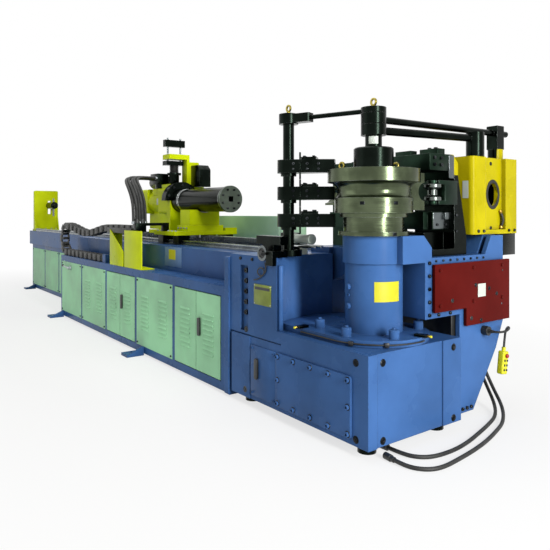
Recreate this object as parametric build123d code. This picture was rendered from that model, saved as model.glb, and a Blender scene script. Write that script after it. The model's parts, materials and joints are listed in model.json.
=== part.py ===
"""Pipe bending machine: head with a swinging bend arm, long bed, feed carriage with a turning chuck.

Millimetres. The origin is on the floor below the bend axis. +X runs towards the front of the head,
+Y away from the door side of the bed and +Z up.
"""
from build123d import *
from math import atan2, asin, ceil, cos, degrees, hypot, pi, radians, sin, sqrt, tan
import os

os.makedirs("parts", exist_ok=True)

# Clearances shared by all fits
RUN = 0.05
SLIDE = 0.4
GAP = 5.0

# Pipe line: the pipe that the tools are cut for
PIPE_R = 44.0
BEND_R = 220.0
PIPE_Z = 1149.0
TIER = 143.0

# Head base
BASE_FRONT = 267.0
BASE_LENGTH = 1050.0
BASE_HALF = 317.5
BASE_BOTTOM = 45.0
BASE_TOP = 445.0
BASE_REAR_TOP = 380.0
BASE_STEP = 597.0
BASE_WALL = 32.0
STRIP = 6.0
STRIP_WIDE = 137.0
STRIP_NARROW = 56.0
SIDE_STRIP = 181.0
COVER_LENGTH = 541.0
COVER_HEIGHT = 270.0
COVER_FRONT = 90.0
COVER_LOW = 25.0
COVER_LIP = 36.0
COVER_T = 10.0
PANEL_GAP = 7.0
PAD_R = 42.0
CENTRE_PAD_R = 60.0
BOLT_R = 11.0

# Pivot plate and column
PLATE_R = 265.0
PLATE_T = 32.0
BOSS_R = 24.0
BOSS_HIGH = 42.0
BOSS_EDGE = 4.0
BOSS_RING = 222.0
BOSS_FAR = 40.0
COLUMN_R = 140.0
COLUMN_TOP = 805.0
SPINDLE_R = 75.0

# Upper housing and its flange to the bed
BAY_R = 484.0
HOUSING_SHIM = 6.0
HOUSING_TOP = 816.0
HOUSING_Y = 150.0
HOUSING_OVER = 24.0
HOUSING_WALL = 36.0
SLOT_IN = 145.0
SLOT_LENGTH = 75.0
SLOT_LOW = 402.0
SLOT_HIGH = 759.0
SLOT_DEEP = 18.0
FLANGE_T = 44.0
FLANGE_PROUD = 12.0
FLANGE_LOW = 12.0
FLANGE_TOP = 797.0
DRAIN_R = 14.0
SENSOR_T = 12.0
SENSOR_OUT = 22.0

# Bend arm
ARM_GAP = 0.5
HUB_R = 150.0
HUB_TOP = 937.0
HUB_FRONT = 185.0
HUB_BACK = 150.0
HUB_END = 210.0
HUB_CHAMFER = 60.0
END_T = 51.0
ARM_T = 25.0
ARM_END = 816.0
ARM_LOW = 532.0
ARM_TOP = 827.0
ARM_RISE = 925.0
RISE_START = 650.0
RISE_RUN = 54.0
WING_IN = 429.0
WING_LOW = 25.0
WING_FOOT = 116.0
WING_MID_Y = 750.0
WING_MID_Z = 320.0
WING_OUT_Z = 462.0
RED_T = 15.0
RED_STAND = 5.0
RED_START = 208.0
RED_END = 847.0
RED_TOP = 795.0
RED_LOW = 562.0
RED_DROP = 471.0
RED_STEP = 459.0

# Bend die on the spindle
RING_R = 146.0
RING_LIP_R = 172.0
RING_LIP = 20.0
DIE_LOW_R = 190.0
DIE_LOW_T = 60.0
DIE_TOP_R = 224.0
DIE_TOP_T = 62.0
GRIP_LENGTH = 132.0
GRIP_Y = 96.0
GRIP_RELIEF = 0.5
NUT_R = 97.0
NUT_HIGH = 107.0
NECK_R = 41.0
EYE_R = 16.0
EYE_WIRE = 5.0

# Tie rods over the tools
COLLAR_R = 62.0
COLLAR_HIGH = 52.0
COLLAR_GAP = 3.0
TIE_EYE_HIGH = 26.0
TIE_HEAD = 54.0
TIE_BLOCK_LONG = 110.0
TIE_BLOCK_WIDE = 56.0
TIE_BLOCK_HIGH = 46.0
NECK_FREE = 61.0
ROD_UPPER_R = 17.5
ROD_LOWER_R = 20.0
ROD_LEFT_R = 12.0
POST_REAR_X = 60.0
POST_REAR_Y = 940.0
POST_FRONT_X = 112.0
POST_FRONT_Y = 668.0
POST_FRONT_R = 48.0
ROD_PAST = 95.0

# Clamp unit and its tower
CLAMP_OPEN = 48.0
CLAMP_TRAVEL = 45.0
CARRIER_Y = 462.0
CARRIER_T = 30.0
CARRIER_HALF = 130.0
CARRIER_TOP = 1242.0
GUSSET_Y = 72.0
GUSSET_T = 24.0
WAY_HIGH = 33.0
WAY_HALF = 60.0
FOOT_HIGH = 85.0
TIER_BLOCK = 84.0
TIER_HALF = 126.0
TOP_LIFT = 6.0
ROLLER_R = 44.0
ROLLER_NECK = 26.0
ROLLER_HIGH = 82.0
ROLLER_X = 108.0
ROLLER_PIN = 14.0
FORK_T = 20.0
TOWER_LOW = 930.0
TOWER_TOP = 1350.0
TOWER_BACK = -110.0
TOWER_FRONT = 150.0
TOWER_Y = 596.0
TOWER_COLUMN = 134.0
TOWER_END = 1010.0
TOWER_WALL = 110.0
TOWER_WEB = 24.0
TOWER_RECESS = 26.0
WINDOW_W = 96.0
WINDOW_H = 130.0
RAM_R = 26.0
RAM_Z = 1148.0
CYLINDER_R = 62.0

# Pressure die unit
PRESS_FRONT = -200.0
PRESS_LENGTH = 450.0
PRESS_TOP = 850.0
PRESS_END = 620.0
PRESS_OPEN = 40.0
PRESS_DEEP = 62.0
PRESS_HALF_Z = 56.0
PRESS_SLIDE_Y = 210.0
PRESS_WALL = 60.0
PRESS_TOP_Z = 1338.0

# Wiper post
WIPER_X = -462.0
WIPER_Y = -166.0
WIPER_R = 30.0
WIPER_FLANGE_R = 72.0
WIPER_FLANGE = 34.0
HOLDER_R = 60.0
HOLDER_HIGH = 70.0
HOLDER_REACH = 250.0
HOLDER_NOSE = 42.0
HOLDER_TURN = 40.0
WHEEL_R = 40.0
WHEEL_T = 12.0
WHEEL_PIN = 7.0
WHEEL_HUB = 13.0
WHEEL_GRIP = 32.0
STAND_AWAY = 8.0
STAND_IN = 20.0
STAND_LENGTH = 96.0
STAND_DEEP = 52.0
STAND_HIGH = 64.0
STAND_BAR = 210.0
STAND_BAR_HIGH = 45.0
WHEEL_UP = 20.0
WHEEL_OUT = 20.0
JAW_FRONT = 24.0
JAW_LONG = 56.0
JAW_LOW = 40.0
JAW_HIGH = 34.0
BOTTLE_BACK = 74.0
BOTTLE_IN = 150.0
BOTTLE_R = 34.0
BOTTLE_HIGH = 84.0
BOTTLE_CAP = 20.0

# Bed cabinet and rail beam
BED_BOTTOM = 15.0
BED_HALF = 317.5
BED_BACK = 590.0
LEDGE = 620.0
BED_WALL = 12.0
POST_W = 34.0
POST_DEEP = 30.0
END_POST = 57.0
BAY = 625.0
BAYS = 5
SILL = 65.0
FASCIA = 563.0
LEAF_T = 18.0
LEAF_PROUD = 2.0
PIVOT_R = 5.0
PIVOT_IN = 12.0
PIVOT_LONG = 16.0
LOUVRES = 9
LOUVRE_PITCH = 30.0
LOUVRE_HIGH = 15.0
LOUVRE_OUT = 7.0
LOUVRE_LONG = 128.0
HANDLE_HIGH = 110.0
HANDLE_WIDE = 26.0
HANDLE_OUT = 12.0
BEAM_Y = -150.0
BEAM_TOP = 800.0
RAIL_SPREAD = 400.0
RAIL_W = 45.0
RAIL_HIGH = 35.0
RAIL_WAIST = 8.0
RAIL_BACK = 200.0
RAIL_SHORT = 20.0
FOOT_REACH = 130.0
FOOT_T = 20.0
FOOT_HOLE = 11.0
FOOT_WIDE = 110.0
FOOT_NEAR = -2050.0
FOOT_FAR = -4000.0

# Hydraulic unit
TANK_IN = 40.0
TANK_FRONT = -40.0
TANK_BACK = 60.0
TANK_HIGH = 330.0
PUMP_LONG = 120.0
PUMP_R = 78.0
VALVE_IN = 110.0
VALVE_FRONT = 60.0
VALVE_DEEP = 200.0
VALVE_HIGH = 300.0

# Tail
TAIL_LENGTH = 2507.0
TAIL_FACE = 20.0
TAIL_BEAM_Y = -20.0
TAIL_BAYS = 4
UPRIGHT_BACK = 60.0
UPRIGHT_T = 40.0
UPRIGHT_NEAR = 205.0
UPRIGHT_FAR = 115.0
UPRIGHT_OVER = 140.0
UPRIGHT_HEEL = 40.0
UPRIGHT_TOE = 60.0
UPRIGHT_FOOT = 24.0
UPRIGHT_RIB = 16.0
UPRIGHT_RIB_HIGH = 176.0
UPRIGHT_ROUND = 20.0
KNOB_LONG = 30.0
SLOT_HALF = 22.0
HOLDER_UP = 40.0
HOLDER_DOWN = 90.0
KNOB_R = 40.0
MANDREL_R = 48.0
MANDREL_LENGTH = 240.0
MANDREL_TIP = 70.0

# Pressure gauges at the step of the bed
GAUGE_IN = 30.0
GAUGE_PLATE = 170.0
GAUGE_PLATE_T = 26.0
GAUGE_DROP = 60.0
GAUGE_DEEP = 50.0
GAUGE_PITCH = 50.0
GAUGE_STEP = 40.0
GAUGE_R = 22.0
GAUGE_LONG = 34.0

# Electrical cabinet behind the bed
BOX_FRONT = -1560.0
BOX_LENGTH = 940.0
BOX_DEEP = 280.0
BOX_TOP = 1020.0
BOX_WALL = 10.0

# Rack and pinion of the feed
MODULE = 10.0
TEETH = 18
RACK_W = 40.0
RACK_OVER = 130.0
BACKLASH = 1.6

# Feed carriage
SADDLE_FRONT = -2013.0
SADDLE_LENGTH = 357.0
SADDLE_HALF = 285.0
SADDLE_GAP = 37.0
SADDLE_T = 30.0
TAIL_PLATE = 400.0
TAIL_PLATE_HALF = 150.0
BLOCK_LENGTH = 90.0
BLOCK_HALF = 48.0
UPSTAND_W = 110.0
UPSTAND_T = 47.0
UPSTAND_HIGH = 24.0
CRADLE_HALF = 135.0
CRADLE_T = 187.0
FEED_FORWARD = 780.0
FEED_BACK = 1800.0
BARREL_R = 100.0
BARREL_FRONT = -1652.0
BARREL_LENGTH = 770.0
BARREL_BORE = 46.0
NOSE_T = 26.0
HOLE_HALF = 20.0
FLANGE_R = 160.0
FLANGE_RING = 74.0
GEARBOX_LENGTH = 535.0
GEARBOX_HALF = 110.0
GEAR_TUBE = 104.0
GEAR_END = 140.0
GEAR_HEAD = 170.0
GEAR_FOOT = 50.0
LIFT_PAD = 34.0
MOTOR_R = 74.0
MOTOR_IN = 290.0
MOTOR_HIGH = 90.0
FEED_MOTOR = 150.0
CYL_BASE = 80.0
CYL_R = 44.0
CYL_CAP = 20.0
CYL_CAP_R = 60.0
LIFT_CLEAR = 4.0
YOKE_HIGH = 38.0
YOKE_GAP = 12.0
LEAN_FOOT = 170.0
LEAN_TOP = 115.0
LEAN_DEEP = 90.0
CROSS_DROP = 60.0
CROSS_ROD = 8.0
CROSS_SPREAD = 120.0
CROSS_BAR = 60.0
TOP_PLATE_T = 42.0

# Cable chain
LINK = 60.0
LINK_HIGH = 60.0
LINK_WIDE = 84.0
CHAIN_Y = -258.0
CHAIN_ANCHOR = -2900.0
CHAIN_LOOP = -4000.0
CHAIN_END = -2225.0
CHAIN_SAG = 62.0
LOOP_R = 138.0
ANCHOR = 70.0
TRAY_T = 6.0
TRAY_START = -2770.0
TRAY_LENGTH = 510.0
BRACKET_T = 8.0
BRACKET_LENGTH = 330.0

# Cables and hoses
CABLE_R = 9.0
HOSE_R = 17.0
LEAD_R = 6.0
PLUG_R = 15.0
PLUG_LONG = 56.0
GLAND_IN = 159.5
SOCKET_IN = 204.0
SOCKET_DROP = 44.0
SOCKET_R = 24.0
SOCKET_LONG = 34.0
GRIP_HIGH = 124.0


def span(x0, x1, y0, y1, z0, z1):
    """A block given by its limits."""
    return Pos((x0 + x1) / 2, (y0 + y1) / 2, (z0 + z1) / 2) * Box(x1 - x0, y1 - y0, z1 - z0)


def disc(x, y, z0, z1, r):
    """An upright round piece."""
    return Pos(x, y, (z0 + z1) / 2) * Cylinder(r, z1 - z0)


def bar_x(x0, x1, y, z, r):
    """A round piece along X."""
    return Pos((x0 + x1) / 2, y, z) * Rot(0, 90, 0) * Cylinder(r, x1 - x0)


def bar_y(x, y0, y1, z, r):
    """A round piece along Y."""
    return Pos(x, (y0 + y1) / 2, z) * Rot(90, 0, 0) * Cylinder(r, y1 - y0)


def bar(start, end, r):
    """A round bar from one point to another."""
    way = Vector(*end) - Vector(*start)
    return extrude(Plane(origin=start, z_dir=way) * Circle(r), amount=way.length, dir=way.normalized())


def plate_yz(points, x0, x1):
    """A plate with its outline in Y and Z, from x0 to x1."""
    face = Plane(origin=(x0, 0, 0), x_dir=(0, 1, 0), z_dir=(1, 0, 0)) * Polygon(*points, align=None)
    return extrude(face, amount=x1 - x0, dir=(1, 0, 0))


def plate_xz(points, y0, y1):
    """A plate with its outline in X and Z, from y0 to y1."""
    face = Plane(origin=(0, y0, 0), x_dir=(1, 0, 0), z_dir=(0, -1, 0)) * Polygon(*points, align=None)
    return extrude(face, amount=y1 - y0, dir=(0, 1, 0))


def plate_xy(points, z0, z1):
    """A plate with its outline in X and Y, from z0 to z1."""
    face = Plane(origin=(0, 0, z0)) * Polygon(*points, align=None)
    return extrude(face, amount=z1 - z0, dir=(0, 0, 1))


def turned(points):
    """A turned piece about the bend axis from its half section in radius and height."""
    face = Plane.XZ * Polygon(*points, align=None)
    return revolve(face, Axis.Z, 360)


def hose(points, r, name):
    """A round hose along a route: the widest arcs that its runs allow."""
    radii = []
    for before, at, after in zip(points, points[1:], points[2:]):
        a = Vector(*at) - Vector(*before)
        b = Vector(*after) - Vector(*at)
        half = radians(a.get_angle(b)) / 2
        radii.append(0.45 * min(a.length, b.length) / tan(half))
    path = FilletPolyline(*points, radius=radii)
    start = Plane(origin=path @ 0, z_dir=path % 0)
    tube = sweep(start * Circle(r), path=path)
    share = tube.volume / (pi * r * r * path.length)
    print(name, "radii", [round(v) for v in radii], "length", round(path.length), "volume share",
          round(share, 4))
    return tube


def group(pieces):
    """Several solids kept as one sub-part."""
    solids = []
    for piece in pieces:
        solids.extend(piece.solids())
    return Compound(children=solids)


def save(name, shape):
    """Write one sub-part."""
    export_step(shape, f"parts/{name}.step")


# Levels and places that follow from the sizes above
base_back = BASE_FRONT - BASE_LENGTH
base_step = BASE_FRONT - BASE_STEP
front_face = BASE_FRONT + STRIP
plate_top = BASE_TOP + PLATE_T
housing_back = base_back - HOUSING_OVER
flange_back = housing_back - FLANGE_T
hub_low = COLUMN_TOP + ARM_GAP
die_low = PIPE_Z - PIPE_R - DIE_LOW_T
die_top = PIPE_Z + PIPE_R + DIE_TOP_T
nut_top = die_top + NUT_HIGH
collar_low = nut_top + NECK_FREE
collar_high = collar_low + COLLAR_HIGH + COLLAR_GAP
tie_eye_low = collar_high + COLLAR_HIGH + COLLAR_GAP
neck_top = tie_eye_low + TIE_EYE_HIGH
tie_z = tie_eye_low + TIE_EYE_HIGH / 2
wiper_top = tie_z + TIE_HEAD / 2 + GAP
rail_top = BEAM_TOP + RAIL_HIGH
saddle_low = rail_top + SADDLE_GAP
saddle_top = saddle_low + SADDLE_T
cabinet_back = flange_back - END_POST - BAYS * BAY
tail_back = cabinet_back - TAIL_LENGTH

# Head base: hollow block, lower at the rear, with proud machined strips
base = span(base_back, BASE_FRONT, -BASE_HALF, BASE_HALF, BASE_BOTTOM, BASE_REAR_TOP)
base += span(base_step, BASE_FRONT, -BASE_HALF, BASE_HALF, BASE_REAR_TOP, BASE_TOP)
base -= span(
    base_back + BASE_WALL, BASE_FRONT - BASE_WALL,
    -BASE_HALF + BASE_WALL, BASE_HALF - BASE_WALL,
    BASE_BOTTOM + BASE_WALL, BASE_REAR_TOP - BASE_WALL,
)
cover_x1 = BASE_FRONT - COVER_FRONT
cover_x0 = cover_x1 - COVER_LENGTH
cover_z0 = BASE_BOTTOM + COVER_LOW
cover_z1 = cover_z0 + COVER_HEIGHT
base -= span(
    cover_x0 + COVER_LIP, cover_x1 - COVER_LIP,
    -BASE_HALF - 1, -BASE_HALF + BASE_WALL + 1,
    cover_z0 + COVER_LIP, cover_z1 - COVER_LIP,
)
base -= disc(0, 0, BASE_REAR_TOP - BASE_WALL - 1, BASE_TOP + 1, SPINDLE_R + GAP)
base += span(BASE_FRONT, front_face, BASE_HALF - STRIP_WIDE, BASE_HALF, BASE_BOTTOM, BASE_TOP)
base += span(BASE_FRONT, front_face, -BASE_HALF, -BASE_HALF + STRIP_NARROW, BASE_BOTTOM, BASE_TOP)
base += span(base_back, base_back + SIDE_STRIP, -BASE_HALF - STRIP, -BASE_HALF, BASE_BOTTOM,
             BASE_REAR_TOP)
save("head_base", base)

# Access cover and the plain side panel with its slot handle
cover = span(cover_x0, cover_x1, -BASE_HALF - COVER_T, -BASE_HALF, cover_z0, cover_z1)
cover = fillet(cover.edges().filter_by(Axis.Y), 14)
panel_x1 = cover_x0 - GAP
panel_x0 = base_back + SIDE_STRIP + PANEL_GAP
side_panel = span(panel_x0, panel_x1, -BASE_HALF - COVER_T / 2, -BASE_HALF, cover_z0, cover_z1)
slot_x = panel_x0 + 0.27 * (panel_x1 - panel_x0)
slot_handle = span(
    slot_x - HANDLE_WIDE / 2, slot_x + HANDLE_WIDE / 2,
    -BASE_HALF - COVER_T / 2 - HANDLE_OUT, -BASE_HALF - COVER_T / 2,
    cover_z0 + 0.35 * COVER_HEIGHT, cover_z0 + 0.35 * COVER_HEIGHT + HANDLE_HIGH,
)
slot_handle = fillet(slot_handle.edges().filter_by(Axis.Y), HANDLE_WIDE * 0.45)
save("base_covers", group([cover, side_panel, slot_handle]))

# Pivot plate with bolt bosses, and the column that carries the spindle
plate = disc(0, 0, BASE_TOP, plate_top, PLATE_R)
rear_half = span(-BAY_R, 0, -PLATE_R, PLATE_R, BASE_TOP, plate_top)
plate += rear_half & disc(0, 0, BASE_TOP, plate_top, BAY_R - SLIDE)
plate += disc(0, 0, plate_top, COLUMN_TOP, COLUMN_R)
boss_places = [(-136, BOSS_RING + BOSS_FAR), (136, BOSS_RING + BOSS_FAR)]
boss_places += [(angle, BOSS_RING) for angle in (-80, -22, 57, 100)]
for angle, reach in boss_places:
    x = reach * cos(radians(angle))
    y = reach * sin(radians(angle))
    boss = disc(x, y, plate_top, plate_top + BOSS_HIGH, BOSS_R)
    plate += chamfer(boss.edges().sort_by(Axis.Z)[-1], BOSS_EDGE)
plate -= disc(0, 0, BASE_TOP - 1, COLUMN_TOP + 1, SPINDLE_R + RUN)
save("pivot_plate", plate)

# Upper housing: a foot over the low rear of the base, and a block hollowed round the swing of the arm
foot_low = BASE_REAR_TOP + HOUSING_SHIM
housing = span(housing_back, base_step, -BASE_HALF, BASE_HALF, foot_low, BASE_TOP)
housing += span(housing_back, base_step, -BASE_HALF, HOUSING_Y, BASE_TOP, HOUSING_TOP)
housing += span(base_back + HOUSING_SHIM, base_step - HOUSING_SHIM, -BASE_HALF + HOUSING_SHIM,
                BASE_HALF - HOUSING_SHIM, BASE_REAR_TOP, foot_low)
housing -= disc(0, 0, BASE_TOP, HOUSING_TOP + 1, BAY_R)
housing -= span(
    housing_back - 1, -BAY_R - HOUSING_WALL,
    -BASE_HALF + HOUSING_WALL, HOUSING_Y - HOUSING_WALL,
    foot_low + HOUSING_WALL, HOUSING_TOP - HOUSING_WALL,
)
slot_x0 = housing_back + SLOT_IN - SLOT_LENGTH / 2
slot_x1 = slot_x0 + SLOT_LENGTH
housing -= span(slot_x0, slot_x1, -BASE_HALF - 1, -BASE_HALF + SLOT_DEEP, SLOT_LOW, SLOT_HIGH)
save("head_housing", housing)
flange = span(flange_back, housing_back, -BED_HALF - FLANGE_PROUD, BED_BACK, FLANGE_LOW, FLANGE_TOP)
flange = fillet(flange.edges().filter_by(Axis.X).sort_by(Axis.Y)[:2], 10)
save("end_flange", flange)

# Small fittings: drain pipe in the hollow, home sensors on the rim of the pivot plate
fittings = []
drain_way = BAY_R - DRAIN_R - SLIDE
drain_angle = radians(218)
drain_x = drain_way * cos(drain_angle)
drain_y = drain_way * sin(drain_angle)
fittings.append(disc(drain_x, drain_y, BASE_TOP, HOUSING_TOP - 40, DRAIN_R))
sensor_places = [(-90, -0.9 * PLATE_R, -PLATE_R),
                 (12, PLATE_R * cos(radians(12)), PLATE_R * sin(radians(12)))]
for angle, x, y in sensor_places:
    block = span(-40, SENSOR_OUT, -16, 16, plate_top, plate_top + SENSOR_T)
    block += bar_x(SENSOR_OUT, SENSOR_OUT + 18, 0, plate_top + SENSOR_T / 2, SENSOR_T * 0.4)
    fittings.append(Pos(x, y, 0) * Rot(0, 0, angle) * block)

# Levelling pads, one of them under the bend axis
pads = [disc(0, 0, 0, BASE_BOTTOM, CENTRE_PAD_R)]
for x in (base_back + 2 * PAD_R, BASE_FRONT - 2 * PAD_R):
    for y in (-BASE_HALF + 2 * PAD_R, BASE_HALF - 2 * PAD_R):
        pads.append(disc(x, y, 0, BASE_BOTTOM, PAD_R))
for i in range(4):
    x = flange_back - 4 * PAD_R - i * (flange_back - cabinet_back - 8 * PAD_R) / 3
    for y in (-BED_HALF + 2 * PAD_R, BED_BACK - 2 * PAD_R):
        pads.append(disc(x, y, 0, BED_BOTTOM, PAD_R))
for y in (TAIL_FACE + 2 * PAD_R, BED_BACK - 2 * PAD_R):
    pads.append(disc(tail_back + 4 * PAD_R, y, 0, BED_BOTTOM, PAD_R))
save("levelling_pads", group(pads))

# Bed cabinet: sheet walls, bays along the door side, a ledge on top
cabinet = span(cabinet_back, flange_back, -BED_HALF, BED_BACK, BED_BOTTOM, LEDGE)
cabinet -= span(
    cabinet_back + BED_WALL, flange_back - BED_WALL,
    -BED_HALF + POST_DEEP, BED_BACK - BED_WALL,
    BED_BOTTOM + BED_WALL, LEDGE - BED_WALL,
)
bays = []
for i in range(BAYS):
    x1 = flange_back - END_POST - i * BAY
    x0 = x1 - BAY + POST_W
    bays.append((x0, x1))
    cabinet -= span(x0, x1, -BED_HALF - 1, -BED_HALF + POST_DEEP + 1, SILL, FASCIA)
cabinet += span(CHAIN_ANCHOR, CHAIN_ANCHOR + ANCHOR, CHAIN_Y - LINK_WIDE / 2, CHAIN_Y + LINK_WIDE / 2,
                LEDGE, LEDGE + ANCHOR)


def louvres(x_mid, face, count):
    """A column of pressed louvres, each a hood that is open below."""
    hoods = []
    z_mid = (SILL + FASCIA) / 2
    for i in range(count):
        z = z_mid + (i - (count - 1) / 2) * LOUVRE_PITCH
        hood = plate_yz(
            [(face, z - LOUVRE_HIGH / 2), (face - LOUVRE_OUT, z - LOUVRE_HIGH / 2),
             (face, z + LOUVRE_HIGH / 2)],
            x_mid - LOUVRE_LONG / 2, x_mid + LOUVRE_LONG / 2,
        )
        hoods.append(hood)
    return hoods


# Fixed panels of the door side: one plain, two with louvres
leaf_face = -BED_HALF - LEAF_PROUD
panels = []
for i, columns in ((4, 0), (3, 2), (1, 2)):
    x0, x1 = bays[i]
    panel = span(x0, x1, leaf_face, leaf_face + LEAF_T, SILL, FASCIA)
    for k in range(columns):
        x_mid = x0 + (k + 0.5) * (x1 - x0) / columns
        for hood in louvres(x_mid, leaf_face, LOUVRES):
            panel += hood
    panels.append(panel)

# Doors: pairs of leaves that turn on pivot pins at their outer edges, a handle on each right leaf
leaf_w = (BAY - POST_W - 3 * GAP) / 2
for label, i in (("a", 2), ("b", 0)):
    x0, x1 = bays[i]
    grip_x = x1 - GAP - leaf_w + 1.6 * HANDLE_WIDE
    grip_z = (SILL + FASCIA) / 2 + 30
    handle = span(grip_x - HANDLE_WIDE / 2, grip_x + HANDLE_WIDE / 2, leaf_face - HANDLE_OUT, leaf_face,
                  grip_z - HANDLE_HIGH / 2, grip_z + HANDLE_HIGH / 2)
    handle = fillet(handle.edges().filter_by(Axis.Y), HANDLE_WIDE * 0.3)
    sides = (
        ("left", x0 + GAP, x0 + GAP + PIVOT_IN, []),
        ("right", x1 - GAP - leaf_w, x1 - GAP - PIVOT_IN, [handle]),
    )
    for side, low, pivot, extra in sides:
        leaf = span(low, low + leaf_w, leaf_face, leaf_face + LEAF_T, SILL + GAP, FASCIA - GAP)
        leaf -= span(
            low + 3 * PIVOT_IN, low + leaf_w - 3 * PIVOT_IN,
            leaf_face + LEAF_T / 3, leaf_face + LEAF_T + 1,
            SILL + GAP + 2 * PIVOT_LONG, FASCIA - GAP - 2 * PIVOT_LONG,
        )
        for hood in louvres(low + leaf_w / 2, leaf_face, LOUVRES):
            leaf += hood
        pin_y = leaf_face + LEAF_T / 2
        leaf -= disc(pivot, pin_y, SILL, SILL + GAP + PIVOT_LONG, PIVOT_R + RUN)
        leaf -= disc(pivot, pin_y, FASCIA - GAP - PIVOT_LONG, FASCIA, PIVOT_R + RUN)
        save(f"door_{label}_{side}", group([leaf] + extra))
        cabinet += disc(pivot, pin_y, SILL, SILL + PIVOT_LONG, PIVOT_R)
        cabinet += disc(pivot, pin_y, FASCIA - PIVOT_LONG, FASCIA, PIVOT_R)
save("bed_cabinet", cabinet)

# Hydraulic unit behind the doors: tank with its motor, and a valve block
x0, x1 = bays[2]
tank_z = BED_BOTTOM + BED_WALL
unit = span(x0 + TANK_IN, x1 - TANK_IN, TANK_FRONT, BED_BACK - BED_WALL - TANK_BACK, tank_z,
            tank_z + TANK_HIGH)
unit += bar_y((x0 + x1) / 2, TANK_FRONT - PUMP_LONG, TANK_FRONT, tank_z + TANK_HIGH / 2, PUMP_R)
x0, x1 = bays[0]
valves = span(x0 + VALVE_IN, x1 - VALVE_IN, VALVE_FRONT, VALVE_FRONT + VALVE_DEEP, tank_z,
              tank_z + VALVE_HIGH)
unit = group([unit, valves])
save("hydraulic_unit", unit)

# Rail beam and its two guide rails
beam = span(cabinet_back, flange_back, BEAM_Y, BED_BACK, LEDGE, BEAM_TOP)
beam += span(tail_back, cabinet_back, TAIL_BEAM_Y, BED_BACK, LEDGE, BEAM_TOP)
beam -= span(cabinet_back + BED_WALL, flange_back - BED_WALL, BEAM_Y + BED_WALL, BED_BACK - BED_WALL,
             LEDGE + BED_WALL, BEAM_TOP - BED_WALL)
beam -= span(tail_back - 1, cabinet_back + 2 * BED_WALL, TAIL_BEAM_Y + BED_WALL, BED_BACK - BED_WALL,
             LEDGE + BED_WALL, BEAM_TOP - BED_WALL)
save("rail_beam", beam)
rail_ends = (tail_back + UPRIGHT_BACK + RAIL_BACK, flange_back - RAIL_SHORT)
rail_half = RAIL_W / 2
rail_outline = [
    (-rail_half, BEAM_TOP), (rail_half, BEAM_TOP), (rail_half, BEAM_TOP + RAIL_HIGH * 0.35),
    (rail_half - RAIL_WAIST, BEAM_TOP + RAIL_HIGH * 0.55), (rail_half, BEAM_TOP + RAIL_HIGH * 0.8),
    (rail_half, rail_top), (-rail_half, rail_top), (-rail_half, BEAM_TOP + RAIL_HIGH * 0.8),
    (-rail_half + RAIL_WAIST, BEAM_TOP + RAIL_HIGH * 0.55), (-rail_half, BEAM_TOP + RAIL_HIGH * 0.35),
]
rails = []
for y in (BEND_R - RAIL_SPREAD / 2, BEND_R + RAIL_SPREAD / 2):
    rails.append(plate_yz([(y + a, z) for a, z in rail_outline], *rail_ends))

# Rack of the feed, with teeth that face the doors
pitch = pi * MODULE
pinion_r = MODULE * TEETH / 2
pinion_x = SADDLE_FRONT - SADDLE_LENGTH / 2
pinion_y = BEND_R - 60.0
rack_line = pinion_y + pinion_r
rack_root = rack_line + 1.25 * MODULE
half_pitch = (pitch / 2 - BACKLASH) / 2
lean = tan(radians(20))
teeth_back = ceil((FEED_BACK + RACK_OVER) / pitch)
rack_count = teeth_back + ceil((FEED_FORWARD + RACK_OVER) / pitch)
first = pinion_x - teeth_back * pitch
outline = [(first - pitch / 2, rack_root + RACK_W), (first - pitch / 2, rack_root)]
for i in range(rack_count):
    x = first + i * pitch
    outline.append((x - half_pitch - 1.25 * MODULE * lean, rack_root))
    outline.append((x - half_pitch + MODULE * lean, rack_line - MODULE))
    outline.append((x + half_pitch - MODULE * lean, rack_line - MODULE))
    outline.append((x + half_pitch + 1.25 * MODULE * lean, rack_root))
rack_end = first + (rack_count - 1) * pitch + pitch / 2
outline.append((rack_end, rack_root))
outline.append((rack_end, rack_root + RACK_W))
rails.append(plate_xy(outline, BEAM_TOP, saddle_low - 6))
save("feed_rails", group(rails))

# Feet: a foot plate with an anchor hole and a leaning gusset
feet = []
for x, face in ((FOOT_NEAR, -BED_HALF), (FOOT_FAR, -BED_HALF), (tail_back + FOOT_WIDE, TAIL_FACE)):
    foot = span(x - FOOT_WIDE / 2, x + FOOT_WIDE / 2, face - FOOT_REACH, face, 0, FOOT_T)
    foot += plate_yz(
        [(face - LOUVRE_OUT - LEAF_PROUD, FOOT_T), (face - FOOT_REACH + 20, FOOT_T),
         (face - LOUVRE_OUT - LEAF_PROUD, SILL)],
        x + FOOT_WIDE / 2 - FOOT_T, x + FOOT_WIDE / 2,
    )
    foot += span(x + FOOT_WIDE / 2 - FOOT_T, x + FOOT_WIDE / 2, face - LOUVRE_OUT - LEAF_PROUD, face,
                 FOOT_T, SILL)
    foot -= disc(x - FOOT_T / 2, face - FOOT_REACH / 2, -1, FOOT_T + 1, FOOT_HOLE)
    feet.append(foot)
save("bed_feet", group(feet))

# Tail: set-back frame with plain panels
tail = span(tail_back, cabinet_back, TAIL_FACE, BED_BACK, BED_BOTTOM, LEDGE)
tail -= span(tail_back + BED_WALL, cabinet_back - BED_WALL, TAIL_FACE + POST_DEEP, BED_BACK - BED_WALL,
             BED_BOTTOM + BED_WALL, LEDGE - BED_WALL)
tail_bay = (TAIL_LENGTH - POST_W) / TAIL_BAYS
for i in range(TAIL_BAYS):
    x0 = tail_back + POST_W + i * tail_bay
    x1 = x0 + tail_bay - POST_W
    tail -= span(x0, x1, TAIL_FACE - 1, TAIL_FACE + POST_DEEP + 1, SILL, FASCIA)
    panels.append(span(x0, x1, TAIL_FACE - LEAF_PROUD, TAIL_FACE - LEAF_PROUD + LEAF_T, SILL, FASCIA))
save("tail_frame", tail)
save("bed_panels", group(panels))

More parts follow.
